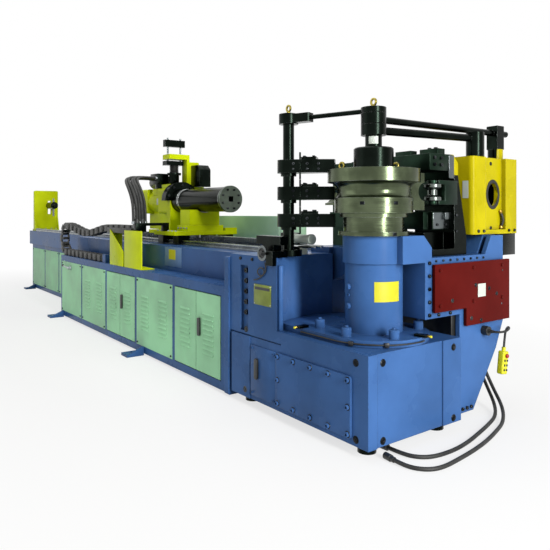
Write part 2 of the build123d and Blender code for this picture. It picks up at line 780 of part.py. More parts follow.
# Tail upright on the pipe line: a slotted plate on a foot, with gussets behind
up_x0 = tail_back + UPRIGHT_BACK
up_x1 = up_x0 + UPRIGHT_T
slot_low = PIPE_Z - HOLDER_DOWN - SLOT_HALF - GAP
slot_high = PIPE_Z + HOLDER_UP + SLOT_HALF + GAP
upright_top = slot_high + UPRIGHT_OVER
up_y0 = BEND_R - UPRIGHT_NEAR
up_y1 = BEND_R + UPRIGHT_FAR
upright = span(up_x0, up_x1, up_y0, up_y1, BEAM_TOP, upright_top)
upright = fillet(upright.edges().filter_by(Axis.X).sort_by(Axis.Z)[-2:], UPRIGHT_ROUND)
foot_top = BEAM_TOP + UPRIGHT_FOOT
toe_x = up_x1 + UPRIGHT_TOE
upright += span(up_x0 - UPRIGHT_HEEL, toe_x, up_y0, up_y1, BEAM_TOP, foot_top)
for y in (up_y0, up_y1 - UPRIGHT_RIB):
    rib = [(up_x1, foot_top), (toe_x, foot_top), (up_x1, foot_top + UPRIGHT_RIB_HIGH)]
    upright += plate_xz(rib, y, y + UPRIGHT_RIB)
upright -= span(up_x0 - 1, up_x1 + 1, BEND_R - SLOT_HALF, BEND_R + SLOT_HALF, slot_low, slot_high)
save("tail_upright", upright)
stem_half = SLOT_HALF - SLIDE
stem = span(up_x0 - SLIDE, up_x1 + SLIDE, BEND_R - stem_half, BEND_R + stem_half,
            PIPE_Z - stem_half, PIPE_Z + stem_half)
holder = stem + bar_x(up_x0 - SLIDE - KNOB_LONG, up_x0 - SLIDE, BEND_R, PIPE_Z, KNOB_R)
holder += bar_x(up_x1 + SLIDE, up_x1 + SLIDE + MANDREL_LENGTH, BEND_R, PIPE_Z, MANDREL_R)
rod_x = up_x1 + SLIDE + MANDREL_LENGTH
holder += bar_x(rod_x, rod_x + MANDREL_TIP, BEND_R, PIPE_Z, MANDREL_R * 0.5)
save("mandrel_holder", holder)

# Pressure gauges in a row on a plate at the step of the bed
gauge_y0 = -BED_HALF + GAUGE_IN
gauge_y1 = gauge_y0 + GAUGE_PLATE
gauge_top = LEDGE - GAUGE_DROP
gauge_x = cabinet_back - GAUGE_PLATE_T
fittings.append(span(gauge_x, cabinet_back, gauge_y0, gauge_y1, gauge_top - GAUGE_PLATE, gauge_top))
for k in range(3):
    y = (gauge_y0 + gauge_y1) / 2 + (k - 1) * GAUGE_PITCH
    z = gauge_top - GAUGE_DEEP - GAUGE_STEP * (k % 2)
    fittings.append(bar_x(gauge_x - GAUGE_LONG, gauge_x, y, z, GAUGE_R))

# Electrical cabinet behind the bed, with its door on the far side
box_back = BOX_FRONT - BOX_LENGTH
box_y1 = BED_BACK + BOX_DEEP
box = span(box_back, BOX_FRONT, BED_BACK, box_y1, BED_BOTTOM, BOX_TOP)
box -= span(box_back + BOX_WALL, BOX_FRONT - BOX_WALL, BED_BACK + BOX_WALL, box_y1 + 1,
            BED_BOTTOM + BOX_WALL, BOX_TOP - BOX_WALL)
box -= span(box_back + BOX_WALL, BOX_FRONT - BOX_WALL, box_y1 - LEAF_T - GAP, box_y1 + 1,
            BED_BOTTOM + BOX_WALL, BOX_TOP - BOX_WALL)
door_x0 = box_back + BOX_WALL + GAP
door_x1 = BOX_FRONT - BOX_WALL - GAP
door_z0 = BED_BOTTOM + BOX_WALL + GAP
door_z1 = BOX_TOP - BOX_WALL - GAP
box_pivot_y = box_y1 - LEAF_T / 2
box_pivot_x = door_x0 + PIVOT_IN
door = span(door_x0, door_x1, box_y1 - LEAF_T, box_y1, door_z0, door_z1)
door -= disc(box_pivot_x, box_pivot_y, door_z0 - GAP, door_z0 + PIVOT_LONG, PIVOT_R + RUN)
door -= disc(box_pivot_x, box_pivot_y, door_z1 - PIVOT_LONG, door_z1 + GAP, PIVOT_R + RUN)
door += span(door_x1 - 60, door_x1 - 36, box_y1, box_y1 + HANDLE_OUT, (door_z0 + door_z1) / 2 - 60,
             (door_z0 + door_z1) / 2 + 60)
save("control_door", door)
box += disc(box_pivot_x, box_pivot_y, door_z0 - GAP, door_z0 - GAP + PIVOT_LONG, PIVOT_R)
box += disc(box_pivot_x, box_pivot_y, door_z1 + GAP - PIVOT_LONG, door_z1 + GAP, PIVOT_R)
save("control_cabinet", box)

# Bend arm: hub with a chamfered end, end plate, box behind the front plate, wing that reaches down
hub = disc(0, 0, hub_low, HUB_TOP, HUB_R)
hub += plate_xz(
    [(-HUB_BACK, hub_low), (HUB_FRONT, hub_low), (HUB_FRONT, HUB_TOP), (-HUB_BACK, HUB_TOP)],
    0, HUB_END - HUB_CHAMFER,
)
hub += plate_yz(
    [(HUB_END - HUB_CHAMFER, hub_low), (HUB_END, hub_low), (HUB_END, HUB_TOP - HUB_CHAMFER),
     (HUB_END - HUB_CHAMFER, HUB_TOP)], -HUB_BACK, HUB_FRONT,
)
arm = hub + span(-HUB_BACK, HUB_FRONT, HUB_END - END_T, HUB_END, ARM_LOW, hub_low)
arm_back = HUB_FRONT - ARM_T
front_outline = [
    (HUB_END, ARM_LOW), (WING_IN, ARM_LOW), (WING_IN, WING_LOW), (WING_IN + WING_FOOT, WING_LOW),
    (WING_MID_Y, WING_MID_Z), (ARM_END, WING_OUT_Z), (ARM_END, ARM_RISE),
    (RISE_START + RISE_RUN, ARM_RISE), (RISE_START, ARM_TOP), (HUB_END, ARM_TOP),
]
arm += plate_yz(front_outline, arm_back, HUB_FRONT)
arm += span(-HUB_BACK, arm_back, HUB_END, ARM_END, ARM_TOP - ARM_T, ARM_TOP)
arm += span(-HUB_BACK, -HUB_BACK + ARM_T, HUB_END, ARM_END, ARM_LOW, ARM_TOP - ARM_T)
arm += span(-HUB_BACK + ARM_T, arm_back, HUB_END, ARM_END, ARM_LOW, ARM_LOW + ARM_T)
arm += span(-HUB_BACK + ARM_T, arm_back, ARM_END - ARM_T, ARM_END, ARM_LOW + ARM_T, ARM_TOP - ARM_T)
arm += plate_yz(
    [(RISE_START, ARM_TOP), (ARM_END, ARM_TOP), (ARM_END, TOWER_LOW), (RISE_START + RISE_RUN, TOWER_LOW)],
    TOWER_BACK, arm_back - ARM_T,
)
arm -= disc(0, 0, hub_low - 1, HUB_TOP + 1, SPINDLE_R)
save("bend_arm", arm)

# Red cover on stand-offs in front of the arm
red_x0 = HUB_FRONT + RED_STAND
red = plate_yz(
    [(RED_START, RED_LOW), (RED_STEP, RED_LOW), (RED_STEP, RED_DROP), (RED_END, RED_DROP),
     (RED_END, RED_TOP),
     (RED_START, RED_TOP)], red_x0, red_x0 + RED_T,
)
for y in (RED_START + 40, RED_STEP + 60, ARM_END - 40):
    for z in (RED_LOW + 30, RED_TOP - 30):
        red += bar_x(HUB_FRONT, red_x0, y, z, BOLT_R)
        red += bar_x(red_x0 + RED_T, red_x0 + RED_T + 5, y, z, BOLT_R * 0.8)
save("arm_cover", red)

# Spindle through the column
spindle = disc(0, 0, BASE_REAR_TOP - BASE_WALL - 60, die_top, SPINDLE_R)
save("bend_spindle", spindle)

# Lower rings and the grooved bend die with its straight grip block
upper_lip = RING_LIP_R - 8
rings = turned([
    (SPINDLE_R, HUB_TOP), (RING_LIP_R, HUB_TOP), (RING_LIP_R, HUB_TOP + RING_LIP),
    (RING_R, HUB_TOP + RING_LIP), (RING_R, die_low - RING_LIP), (upper_lip, die_low - RING_LIP),
    (upper_lip, die_low), (SPINDLE_R, die_low),
])
save("die_rings", rings)
die = turned([
    (SPINDLE_R, die_low), (DIE_LOW_R, die_low), (DIE_LOW_R, PIPE_Z), (DIE_TOP_R, PIPE_Z),
    (DIE_TOP_R, die_top), (SPINDLE_R, die_top),
])
die -= Pos(0, 0, PIPE_Z) * Torus(BEND_R, PIPE_R)
straight = span(0, GRIP_LENGTH, BEND_R - GRIP_Y, BEND_R - SLIDE, die_low + 14, die_top - 14)
straight -= bar_x(-1, GRIP_LENGTH + 1, BEND_R, PIPE_Z, PIPE_R + GRIP_RELIEF)
die += straight
die -= disc(0, 0, die_low - 1, die_top + 1, SPINDLE_R)
save("bend_die", die)
eye = Cylinder(EYE_R + EYE_WIRE, 2 * EYE_WIRE) - Cylinder(EYE_R - EYE_WIRE, 3 * EYE_WIRE)
eye = chamfer(eye.edges().filter_by(GeomType.CIRCLE), EYE_WIRE * 0.4)
eyes = []
for angle in (-60, 60):
    eye_x = (NUT_R + DIE_TOP_R) / 2 * cos(radians(angle + 150))
    eye_y = (NUT_R + DIE_TOP_R) / 2 * sin(radians(angle + 150))
    ring = Pos(eye_x, eye_y, die_top + 10 + EYE_R) * Rot(90, 0, 20) * eye
    eyes.append(ring + disc(eye_x, eye_y, die_top, die_top + 12, EYE_WIRE * 1.6))

# Dark hub over the die, with the neck that the ties hold
nut = disc(0, 0, die_top, nut_top, NUT_R)
nut = chamfer(nut.edges().sort_by(Axis.Z)[-1], 6)
nut += disc(0, 0, nut_top, neck_top, NECK_R)

# Tie rods: the fixed one, clamped on the wiper post, and two on the arm
tie_left = disc(0, 0, tie_eye_low, tie_eye_low + TIE_EYE_HIGH, COLLAR_R)
tie_left += disc(WIPER_X, WIPER_Y, tie_z - TIE_HEAD / 2, tie_z + TIE_HEAD / 2, WIPER_R + 22)
tie_turn = Pos(WIPER_X, WIPER_Y, tie_z) * Rot(0, 0, degrees(atan2(-WIPER_Y, -WIPER_X)))
tie_block = Pos(WIPER_R + TIE_BLOCK_LONG / 2, 0, 0) * Box(TIE_BLOCK_LONG, TIE_BLOCK_WIDE, TIE_BLOCK_HIGH)
tie_left += tie_turn * chamfer(tie_block.edges().filter_by(Axis.Z), 6)
tie_left += bar((WIPER_X, WIPER_Y, tie_z), (0, 0, tie_z), ROD_LEFT_R)
tie_left -= disc(0, 0, tie_eye_low - 1, tie_eye_low + TIE_EYE_HIGH + 1, NECK_R + RUN)
tie_left -= disc(WIPER_X, WIPER_Y, tie_z - TIE_HEAD / 2 - 1, tie_z + TIE_HEAD / 2 + 1, WIPER_R)
save("tie_rod_fixed", tie_left)
upper_z = collar_high + COLLAR_HIGH / 2
lower_z = collar_low + COLLAR_HIGH / 2
rear_far = hypot(POST_REAR_X, POST_REAR_Y)
past = (rear_far + ROD_PAST) / rear_far
upper = disc(0, 0, collar_high, collar_high + COLLAR_HIGH, COLLAR_R)
upper += bar((0, 0, upper_z), (POST_REAR_X * past, POST_REAR_Y * past, upper_z), ROD_UPPER_R)
upper -= disc(0, 0, collar_high - 1, collar_high + COLLAR_HIGH + 1, NECK_R)
lower = disc(0, 0, collar_low, collar_low + COLLAR_HIGH, COLLAR_R)
lower += bar((0, 0, lower_z), (POST_FRONT_X, POST_FRONT_Y, lower_z), ROD_LOWER_R)
lower -= disc(0, 0, collar_low - 1, collar_low + COLLAR_HIGH + 1, NECK_R)
top_eye = disc(0, 0, neck_top, neck_top + 14, EYE_WIRE * 2)
top_eye += Pos(0, 0, neck_top + 12 + EYE_R) * Rot(90, 0, 0) * eye
save("die_nut", group([nut, top_eye] + eyes))

# Posts that hold the far ends of the arm's tie rods
post_front = disc(POST_FRONT_X, POST_FRONT_Y, TOWER_TOP, lower_z + ROD_LOWER_R + 12, POST_FRONT_R)
post_front -= bar((0, 0, lower_z), (POST_FRONT_X, POST_FRONT_Y, lower_z), ROD_LOWER_R)
post_rear = span(POST_REAR_X - 34, POST_REAR_X + 34, POST_REAR_Y - 34, POST_REAR_Y + 34, TOWER_TOP + 60,
                 upper_z + 40)
post_rear -= bar((0, 0, upper_z), (POST_REAR_X * past, POST_REAR_Y * past, upper_z), ROD_UPPER_R)
save("tie_rods", group([upper, lower, post_front, post_rear]))

# Clamp tower: column, end wall and a set-back web with an oval window
tower = span(TOWER_BACK, TOWER_FRONT, TOWER_Y, TOWER_Y + TOWER_COLUMN, TOWER_LOW, TOWER_TOP)
tower = fillet(tower.edges().filter_by(Axis.Z), 26)
tower += span(TOWER_BACK, TOWER_FRONT, TOWER_END - TOWER_WALL, TOWER_END, TOWER_LOW, TOWER_TOP)
column_end = TOWER_Y + TOWER_COLUMN - 30
web_x1 = TOWER_FRONT - TOWER_RECESS
web = span(web_x1 - TOWER_WEB, web_x1, column_end, TOWER_END - TOWER_WALL, TOWER_LOW, TOWER_TOP)
window_y = (TOWER_Y + TOWER_COLUMN + TOWER_END - TOWER_WALL) / 2
hole = span(web_x1 - TOWER_WEB - 1, web_x1 + 1, window_y - WINDOW_W / 2, window_y + WINDOW_W / 2,
            RAM_Z - WINDOW_H / 2, RAM_Z + WINDOW_H / 2)
hole = fillet(hole.edges().filter_by(Axis.X), WINDOW_W * 0.45)
tower += web - hole
tower += span(TOWER_BACK, TOWER_BACK + TOWER_WEB, column_end, TOWER_END - TOWER_WALL, TOWER_LOW,
              TOWER_TOP)
tower += span(TOWER_BACK, TOWER_FRONT, column_end, TOWER_END - TOWER_WALL, TOWER_LOW,
              TOWER_LOW + TOWER_WEB)
tower += disc(POST_REAR_X, POST_REAR_Y, TOWER_TOP, TOWER_TOP + 60, 42)
ram_x = (TOWER_BACK + TOWER_WEB + web_x1 - TOWER_WEB) / 2
tower -= bar_y(ram_x, TOWER_Y - 1, TOWER_END - TOWER_WALL, RAM_Z, CYLINDER_R + SLIDE)
save("clamp_tower", tower)
cylinder = bar_y(ram_x, TOWER_END, TOWER_END + 26, RAM_Z, 30)
cylinder_block = span(TOWER_BACK + 20, TOWER_FRONT - 20, ARM_END, TOWER_END + 20, ARM_TOP - 20, TOWER_LOW)
save("clamp_cylinder", group([cylinder_block, cylinder]))

# Clamp carrier: angle plate with gussets on a way, and the ram behind it
way_low = ARM_TOP + SLIDE
carrier_y1 = CARRIER_Y + CARRIER_T
carrier = span(-CARRIER_HALF, CARRIER_HALF, CARRIER_Y, carrier_y1, way_low, CARRIER_TOP)
gusset = [(carrier_y1, way_low), (carrier_y1 + GUSSET_Y, way_low), (carrier_y1 + GUSSET_Y, way_low + 95),
          (carrier_y1, CARRIER_TOP)]
for x in (-CARRIER_HALF, CARRIER_HALF - GUSSET_T):
    carrier += plate_yz(gusset, x, x + GUSSET_T)
clamp_face = BEND_R + CLAMP_OPEN
carrier += span(-CARRIER_HALF, CARRIER_HALF, clamp_face + 20, CARRIER_Y, way_low, way_low + WAY_HIGH)
carrier += span(-WAY_HALF, WAY_HALF, clamp_face + 40, CARRIER_Y, way_low + WAY_HIGH,
                way_low + WAY_HIGH + FOOT_HIGH)
carrier += bar_y(ram_x, carrier_y1, TOWER_END - TOWER_WALL - CLAMP_TRAVEL, RAM_Z, RAM_R)
save("clamp_carrier", carrier)

# Clamp tiers: lower block with steel facing, roller fork, upper block with a steel end and a cap
tier_low = PIPE_Z - TIER
tier_high = die_top + TOP_LIFT + TIER_BLOCK / 2
lower_block = span(-TIER_HALF, TIER_HALF - 60, clamp_face + 26, CARRIER_Y, tier_low - 46, tier_low + 46)
fork = span(-TIER_HALF, ROLLER_X + 40, clamp_face + 2 * ROLLER_R + GAP, CARRIER_Y,
            PIPE_Z - ROLLER_HIGH / 2 - FORK_T, PIPE_Z + ROLLER_HIGH / 2 + FORK_T)
roller_y = clamp_face + ROLLER_R
for z in (PIPE_Z - ROLLER_HIGH / 2 - FORK_T, PIPE_Z + ROLLER_HIGH / 2 + SLIDE):
    ear = span(ROLLER_X - 40, ROLLER_X + 40, roller_y, clamp_face + 2 * ROLLER_R + GAP, z,
               z + FORK_T - SLIDE)
    ear += disc(ROLLER_X, roller_y, z, z + FORK_T - SLIDE, ROLLER_NECK)
    fork += ear
fork += disc(ROLLER_X, roller_y, PIPE_Z - ROLLER_HIGH / 2 - FORK_T, PIPE_Z + ROLLER_HIGH / 2 + FORK_T,
             ROLLER_PIN)
upper_block = span(-TIER_HALF, TIER_HALF, clamp_face + 2, CARRIER_Y - 34, tier_high - TIER_BLOCK / 2,
                   tier_high + TIER_BLOCK / 2)
upper_block += span(-TIER_HALF, -20, clamp_face + 30, clamp_face + 80, tier_high + TIER_BLOCK / 2,
                    tier_high + TIER_BLOCK / 2 + 26)
upper_block += span(-20, TIER_HALF - 30, CARRIER_Y - 34 - 60, CARRIER_Y - 34, tier_high + TIER_BLOCK / 2,
                    tier_high + TIER_BLOCK / 2 + 34)
steel = [
    span(-TIER_HALF, TIER_HALF, CARRIER_Y - 34, CARRIER_Y, CARRIER_TOP - 20, tier_high + TIER_BLOCK / 2),
    span(TIER_HALF - 60, TIER_HALF - 30, clamp_face + 60, CARRIER_Y, tier_low - 46, tier_low + 46),
]
cap_y = CARRIER_Y + 66
cap_top = tier_high + TIER_BLOCK / 2 + 6
cap = plate_yz(
    [(CARRIER_Y, CARRIER_TOP), (cap_y, CARRIER_TOP), (cap_y, cap_top - 46), (cap_y - 40, cap_top),
     (CARRIER_Y, cap_top)],
    -20, TIER_HALF - 20,
)
save("clamp_tools", group([lower_block, fork, upper_block, cap] + steel))
roller_half = ROLLER_HIGH / 2 - SLIDE
roller_low = PIPE_Z - roller_half
roller_high = PIPE_Z + roller_half
roller_profile = [
    (ROLLER_PIN + RUN, roller_low), (ROLLER_R, roller_low), (ROLLER_R, PIPE_Z - roller_half * 0.62),
    (ROLLER_NECK, PIPE_Z - roller_half * 0.3), (ROLLER_NECK, PIPE_Z + roller_half * 0.3),
    (ROLLER_R, PIPE_Z + roller_half * 0.62), (ROLLER_R, roller_high), (ROLLER_PIN + RUN, roller_high),
]
roller = Pos(ROLLER_X, roller_y, 0) * turned(roller_profile)
save("clamp_roller", roller)

# Pressure die unit: bracket on the housing, slide with a wall, grooved die that follows the pipe
press_x0 = PRESS_FRONT - PRESS_LENGTH
leg_x1 = -BAY_R - GAP
bracket = plate_yz(
    [(HOUSING_Y, BASE_TOP), (BASE_HALF, BASE_TOP), (BASE_HALF, BASE_TOP + 120),
     (PRESS_END, PRESS_TOP - 130), (PRESS_END, PRESS_TOP), (HOUSING_Y, PRESS_TOP)],
    press_x0, leg_x1,
)
bracket += plate_xz(
    [(leg_x1, PRESS_TOP - 190), (leg_x1, PRESS_TOP), (PRESS_FRONT, PRESS_TOP),
     (PRESS_FRONT, PRESS_TOP - 70)],
    HOUSING_Y + 30, PRESS_END,
)
save("press_bracket", bracket)
press_face = BEND_R + PRESS_OPEN + 2
press_y1 = press_face + PRESS_DEEP
slide_low = PRESS_TOP + SLIDE
press = span(press_x0, PRESS_FRONT, press_y1 + SLIDE, press_y1 + PRESS_SLIDE_Y, slide_low, slide_low + 90)
press += span(press_x0, PRESS_FRONT, press_y1 + SLIDE, press_y1 + SLIDE + PRESS_WALL, slide_low + 90,
              PRESS_TOP_Z)
for k in (-1, 1):
    press += span(press_x0 + 20, PRESS_FRONT - 20, press_face + 20, press_y1 + SLIDE,
                  PIPE_Z + k * TIER - 45, PIPE_Z + k * TIER + 45)
for x in (press_x0 + 40, PRESS_FRONT - 70):
    press += plate_yz(
        [(press_y1 + SLIDE + PRESS_WALL, slide_low + 90), (press_y1 + PRESS_SLIDE_Y, slide_low + 90),
         (press_y1 + SLIDE + PRESS_WALL, PRESS_TOP_Z - 60)], x, x + 30,
    )
save("press_slide", press)
press_die = span(press_x0, PRESS_FRONT + 20, press_face, press_y1, PIPE_Z - PRESS_HALF_Z,
                 PIPE_Z + PRESS_HALF_Z)
press_die -= bar_x(press_x0 - 1, PRESS_FRONT + 21, BEND_R + PRESS_OPEN, PIPE_Z, PIPE_R)
save("press_die", press_die)

# Wiper post with three holders that swivel on it, each between collars
post = disc(WIPER_X, WIPER_Y, HOUSING_TOP, wiper_top, WIPER_R)
post += disc(WIPER_X, WIPER_Y, HOUSING_TOP, HOUSING_TOP + WIPER_FLANGE, WIPER_FLANGE_R)
holder_levels = [PIPE_Z - TIER, PIPE_Z, PIPE_Z + TIER]
for z in holder_levels:
    post += disc(WIPER_X, WIPER_Y, z - HOLDER_HIGH / 2 - 16, z - HOLDER_HIGH / 2 - SLIDE, WIPER_R + 12)
post += disc(WIPER_X, WIPER_Y, wiper_top, wiper_top + 12, EYE_WIRE * 2)
post += Pos(WIPER_X, WIPER_Y, wiper_top + 10 + EYE_R) * Rot(90, 0, 45) * eye
for k, z in enumerate(holder_levels):
    body = disc(0, 0, z - HOLDER_HIGH / 2, z + HOLDER_HIGH / 2, HOLDER_R)
    body += plate_xy(
        [(0, -HOLDER_R), (HOLDER_REACH * 0.55, -HOLDER_R * 0.8), (HOLDER_REACH, -HOLDER_NOSE / 2),
         (HOLDER_REACH, HOLDER_NOSE / 2), (HOLDER_REACH * 0.55, HOLDER_R * 0.8), (0, HOLDER_R)],
        z - HOLDER_HIGH / 2, z + HOLDER_HIGH / 2,
    )
    body += span(HOLDER_REACH * 0.3, HOLDER_REACH * 0.62, -HOLDER_R * 0.6, HOLDER_R * 0.6,
                 z + HOLDER_HIGH / 2, z + HOLDER_HIGH / 2 + 14)
    body -= disc(0, 0, z - HOLDER_HIGH / 2 - 1, z + HOLDER_HIGH / 2 + 20, WIPER_R + RUN)
    save(f"wiper_holder_{k + 1}", Pos(WIPER_X, WIPER_Y, 0) * Rot(0, 0, HOLDER_TURN) * body)

# Handwheel on its stand at the edge of the housing, and the oil bottle
stand_x = WIPER_X - STAND_AWAY
stand_y0 = -BASE_HALF + STAND_IN
stand_y1 = stand_y0 + STAND_DEEP
stand_x1 = stand_x + STAND_LENGTH / 2
stand_top = HOUSING_TOP + STAND_HIGH
stand = span(stand_x1 - STAND_LENGTH, stand_x1, stand_y0, stand_y1, HOUSING_TOP, stand_top)
stand += span(stand_x - STAND_BAR / 2, stand_x + STAND_BAR / 2, stand_y0, stand_y1, stand_top,
              stand_top + STAND_BAR_HIGH)
jaw_face = -BASE_HALF - JAW_FRONT
stand += plate_yz(
    [(jaw_face, HOUSING_TOP - JAW_LOW), (-BASE_HALF - SLIDE, HOUSING_TOP - JAW_LOW),
     (-BASE_HALF - SLIDE, HOUSING_TOP), (stand_y1, HOUSING_TOP), (stand_y1, HOUSING_TOP + JAW_HIGH),
     (jaw_face, HOUSING_TOP + JAW_HIGH)],
    stand_x1 - GAP, stand_x1 - GAP + JAW_LONG,
)
wheel_z = HOUSING_TOP + WHEEL_UP
wheel_y = -BASE_HALF - WHEEL_OUT
stand += bar_y(stand_x, wheel_y - 4, stand_y0, wheel_z, WHEEL_PIN)
save("wiper_post", group([post, stand]))
wheel = bar_y(stand_x, wheel_y, wheel_y + WHEEL_T, wheel_z, WHEEL_R)
wheel -= bar_y(stand_x, wheel_y - 1, wheel_y + WHEEL_T * 0.5, wheel_z, WHEEL_R * 0.7)
wheel += bar_y(stand_x, wheel_y - 4, stand_y0 - SLIDE, wheel_z, WHEEL_HUB)
wheel += bar_y(stand_x + WHEEL_R * 0.8, wheel_y - WHEEL_GRIP, wheel_y, wheel_z, WHEEL_R * 0.18)
wheel -= bar_y(stand_x, wheel_y - 5, stand_y0, wheel_z, WHEEL_PIN + RUN)
save("hand_wheel", wheel)
bottle_x = WIPER_X - BOTTLE_BACK
bottle_y = WIPER_Y + BOTTLE_IN
bottle_top = HOUSING_TOP + BOTTLE_HIGH
bottle = disc(bottle_x, bottle_y, HOUSING_TOP, bottle_top, BOTTLE_R)
bottle += disc(bottle_x, bottle_y, bottle_top, bottle_top + BOTTLE_CAP, BOTTLE_CAP)
fittings.append(bottle)

# Feed carriage: saddle plate across the rails, cradle, rear plate, gear housing on a support
saddle_back = SADDLE_FRONT - SADDLE_LENGTH
barrel_back = BARREL_FRONT - BARREL_LENGTH
flange_x0 = barrel_back - FLANGE_RING
gear_x0 = flange_x0 - GEARBOX_LENGTH
saddle = span(saddle_back, SADDLE_FRONT, BEND_R - SADDLE_HALF, BEND_R + SADDLE_HALF, saddle_low,
              saddle_top)
saddle += span(SADDLE_FRONT - UPSTAND_T, SADDLE_FRONT,
               BEND_R + SADDLE_HALF - UPSTAND_W, BEND_R + SADDLE_HALF,
               saddle_top, saddle_top + UPSTAND_HIGH)
saddle += span(saddle_back - TAIL_PLATE, saddle_back, BEND_R - TAIL_PLATE_HALF, BEND_R + TAIL_PLATE_HALF,
               saddle_low, saddle_top)
saddle += span(SADDLE_FRONT - CRADLE_T, SADDLE_FRONT - 10,
               BEND_R - CRADLE_HALF - 25, BEND_R + CRADLE_HALF + 25, saddle_top, saddle_top + 46)
saddle += span(SADDLE_FRONT - CRADLE_T, SADDLE_FRONT - 30,
               BEND_R - CRADLE_HALF, BEND_R + CRADLE_HALF, saddle_top + 46, PIPE_Z - BARREL_R * 0.78)
saddle += span(flange_x0, barrel_back - 10, BEND_R - GEARBOX_HALF, BEND_R + GEARBOX_HALF, saddle_top,
               PIPE_Z)
saddle -= bar_x(flange_x0 - 1, SADDLE_FRONT + 1, BEND_R, PIPE_Z, BARREL_R + 2)
save("carriage_saddle", saddle)
gear_top = PIPE_Z + GEARBOX_HALF
motor_x = gear_x0 + MOTOR_IN
motor_y = BEND_R - 20
gearbox = bar_x(gear_x0, flange_x0, BEND_R, PIPE_Z, GEAR_TUBE)
for x0, x1 in ((gear_x0, gear_x0 + GEAR_END), (flange_x0 - GEAR_HEAD, flange_x0)):
    end_box = span(x0, x1, BEND_R - GEARBOX_HALF, BEND_R + GEARBOX_HALF, PIPE_Z - GEARBOX_HALF, gear_top)
    gearbox += fillet(end_box.edges().filter_by(Axis.X), 24)
gearbox += span(gear_x0 + 60, flange_x0 - 60, BEND_R - GEAR_FOOT, BEND_R + GEAR_FOOT, saddle_top,
                PIPE_Z - GEAR_TUBE / 2)
gearbox += span(motor_x - MOTOR_R, motor_x + MOTOR_R + 2, motor_y - MOTOR_R, motor_y + MOTOR_R,
                PIPE_Z + GEAR_TUBE / 2, gear_top)
gearbox += span(flange_x0 - 160, flange_x0, BEND_R - 80, BEND_R + 80, gear_top, gear_top + LIFT_PAD)
gearbox -= bar_x(gear_x0 - 1, flange_x0 + 1, BEND_R, PIPE_Z, BARREL_BORE)
chuck_flange = bar_x(flange_x0, barrel_back - 2, BEND_R, PIPE_Z, FLANGE_R)
chuck_flange -= bar_x(flange_x0 - 1, barrel_back, BEND_R, PIPE_Z, BARREL_R + 2 - SLIDE)
chuck_flange &= span(flange_x0, barrel_back, BEND_R - FLANGE_R, BEND_R + FLANGE_R, PIPE_Z + SLIDE,
                     PIPE_Z + FLANGE_R)
save("chuck_flange", chuck_flange)

# Guide blocks that run on the rails
blocks = []
for x0 in (saddle_back, SADDLE_FRONT - BLOCK_LENGTH):
    for y in (BEND_R - RAIL_SPREAD / 2, BEND_R + RAIL_SPREAD / 2):
        block = span(x0, x0 + BLOCK_LENGTH, y - BLOCK_HALF, y + BLOCK_HALF, BEAM_TOP + GAP, saddle_low)
        block -= span(x0 - 1, x0 + BLOCK_LENGTH + 1, y - rail_half - SLIDE, y + rail_half + SLIDE,
                      BEAM_TOP, rail_top + SLIDE)
        blocks.append(block)

# Drive pinion under the saddle, on a pin
pinion_low = BEAM_TOP + GAP + 2
pinion_top = saddle_low - SLIDE
tooth_points = []
for i in range(TEETH):
    at = 90 + 180 / TEETH + i * 360 / TEETH
    for r, half in ((pinion_r - 1.25 * MODULE, 5.6), (pinion_r, 4.2), (pinion_r + 0.9 * MODULE, 2.0)):
        tooth_points.append((r * cos(radians(at - half)), r * sin(radians(at - half))))
    for r, half in ((pinion_r + 0.9 * MODULE, 2.0), (pinion_r, 4.2), (pinion_r - 1.25 * MODULE, 5.6)):
        tooth_points.append((r * cos(radians(at + half)), r * sin(radians(at + half))))
pinion = Pos(pinion_x, pinion_y, 0) * plate_xy(tooth_points, pinion_top - 26, pinion_top)
pinion -= disc(pinion_x, pinion_y, pinion_low, pinion_top + 1, 18 + RUN)
save("feed_pinion", pinion)
blocks.append(disc(pinion_x, pinion_y, pinion_top - 26, saddle_low, 18))
save("guide_blocks", group(blocks))

# Chuck: long barrel with a bolted nose that has a square hole
chuck = bar_x(barrel_back, BARREL_FRONT - NOSE_T, BEND_R, PIPE_Z, BARREL_R - 6)
chuck += bar_x(barrel_back, barrel_back + 60, BEND_R, PIPE_Z, BARREL_R)
chuck += bar_x(flange_x0 + SLIDE, barrel_back, BEND_R, PIPE_Z, BARREL_R - 6)
chuck -= bar_x(flange_x0, BARREL_FRONT, BEND_R, PIPE_Z, BARREL_BORE)
nose = bar_x(BARREL_FRONT - NOSE_T, BARREL_FRONT, BEND_R, PIPE_Z, BARREL_R)
nose -= span(BARREL_FRONT - NOSE_T - 1, BARREL_FRONT + 1, BEND_R - HOLE_HALF, BEND_R + HOLE_HALF,
             PIPE_Z - HOLE_HALF,
             PIPE_Z + HOLE_HALF)
save("chuck_barrel", group([chuck, nose]))

# Lifting frame on the gear housing: cylinder, slanted bracket, top plate
frame_low = gear_top + LIFT_PAD
lift_top = frame_low + CYL_BASE + CYL_CAP
yoke_low = lift_top + LIFT_CLEAR + CROSS_DROP
yoke_top = yoke_low + YOKE_HIGH
top_plate_z = yoke_top + YOKE_GAP
cyl_x = flange_x0 - 84
lift = disc(cyl_x, BEND_R, frame_low, frame_low + CYL_BASE, CYL_R)
lift += disc(cyl_x, BEND_R, frame_low + CYL_BASE, lift_top, CYL_CAP_R)
column_y = BEND_R + 80
tall = plate_yz(
    [(column_y, gear_top), (column_y + LEAN_FOOT, gear_top), (column_y + LEAN_TOP, top_plate_z - 20),
     (column_y, top_plate_z - 20)], flange_x0 - 34, flange_x0,
)
tall += span(flange_x0 - LEAN_DEEP, flange_x0, column_y, column_y + 26, gear_top, top_plate_z)
tall += span(flange_x0 - LEAN_DEEP, flange_x0, BEND_R + GEARBOX_HALF, column_y + LEAN_FOOT, gear_top - 30,
             gear_top)
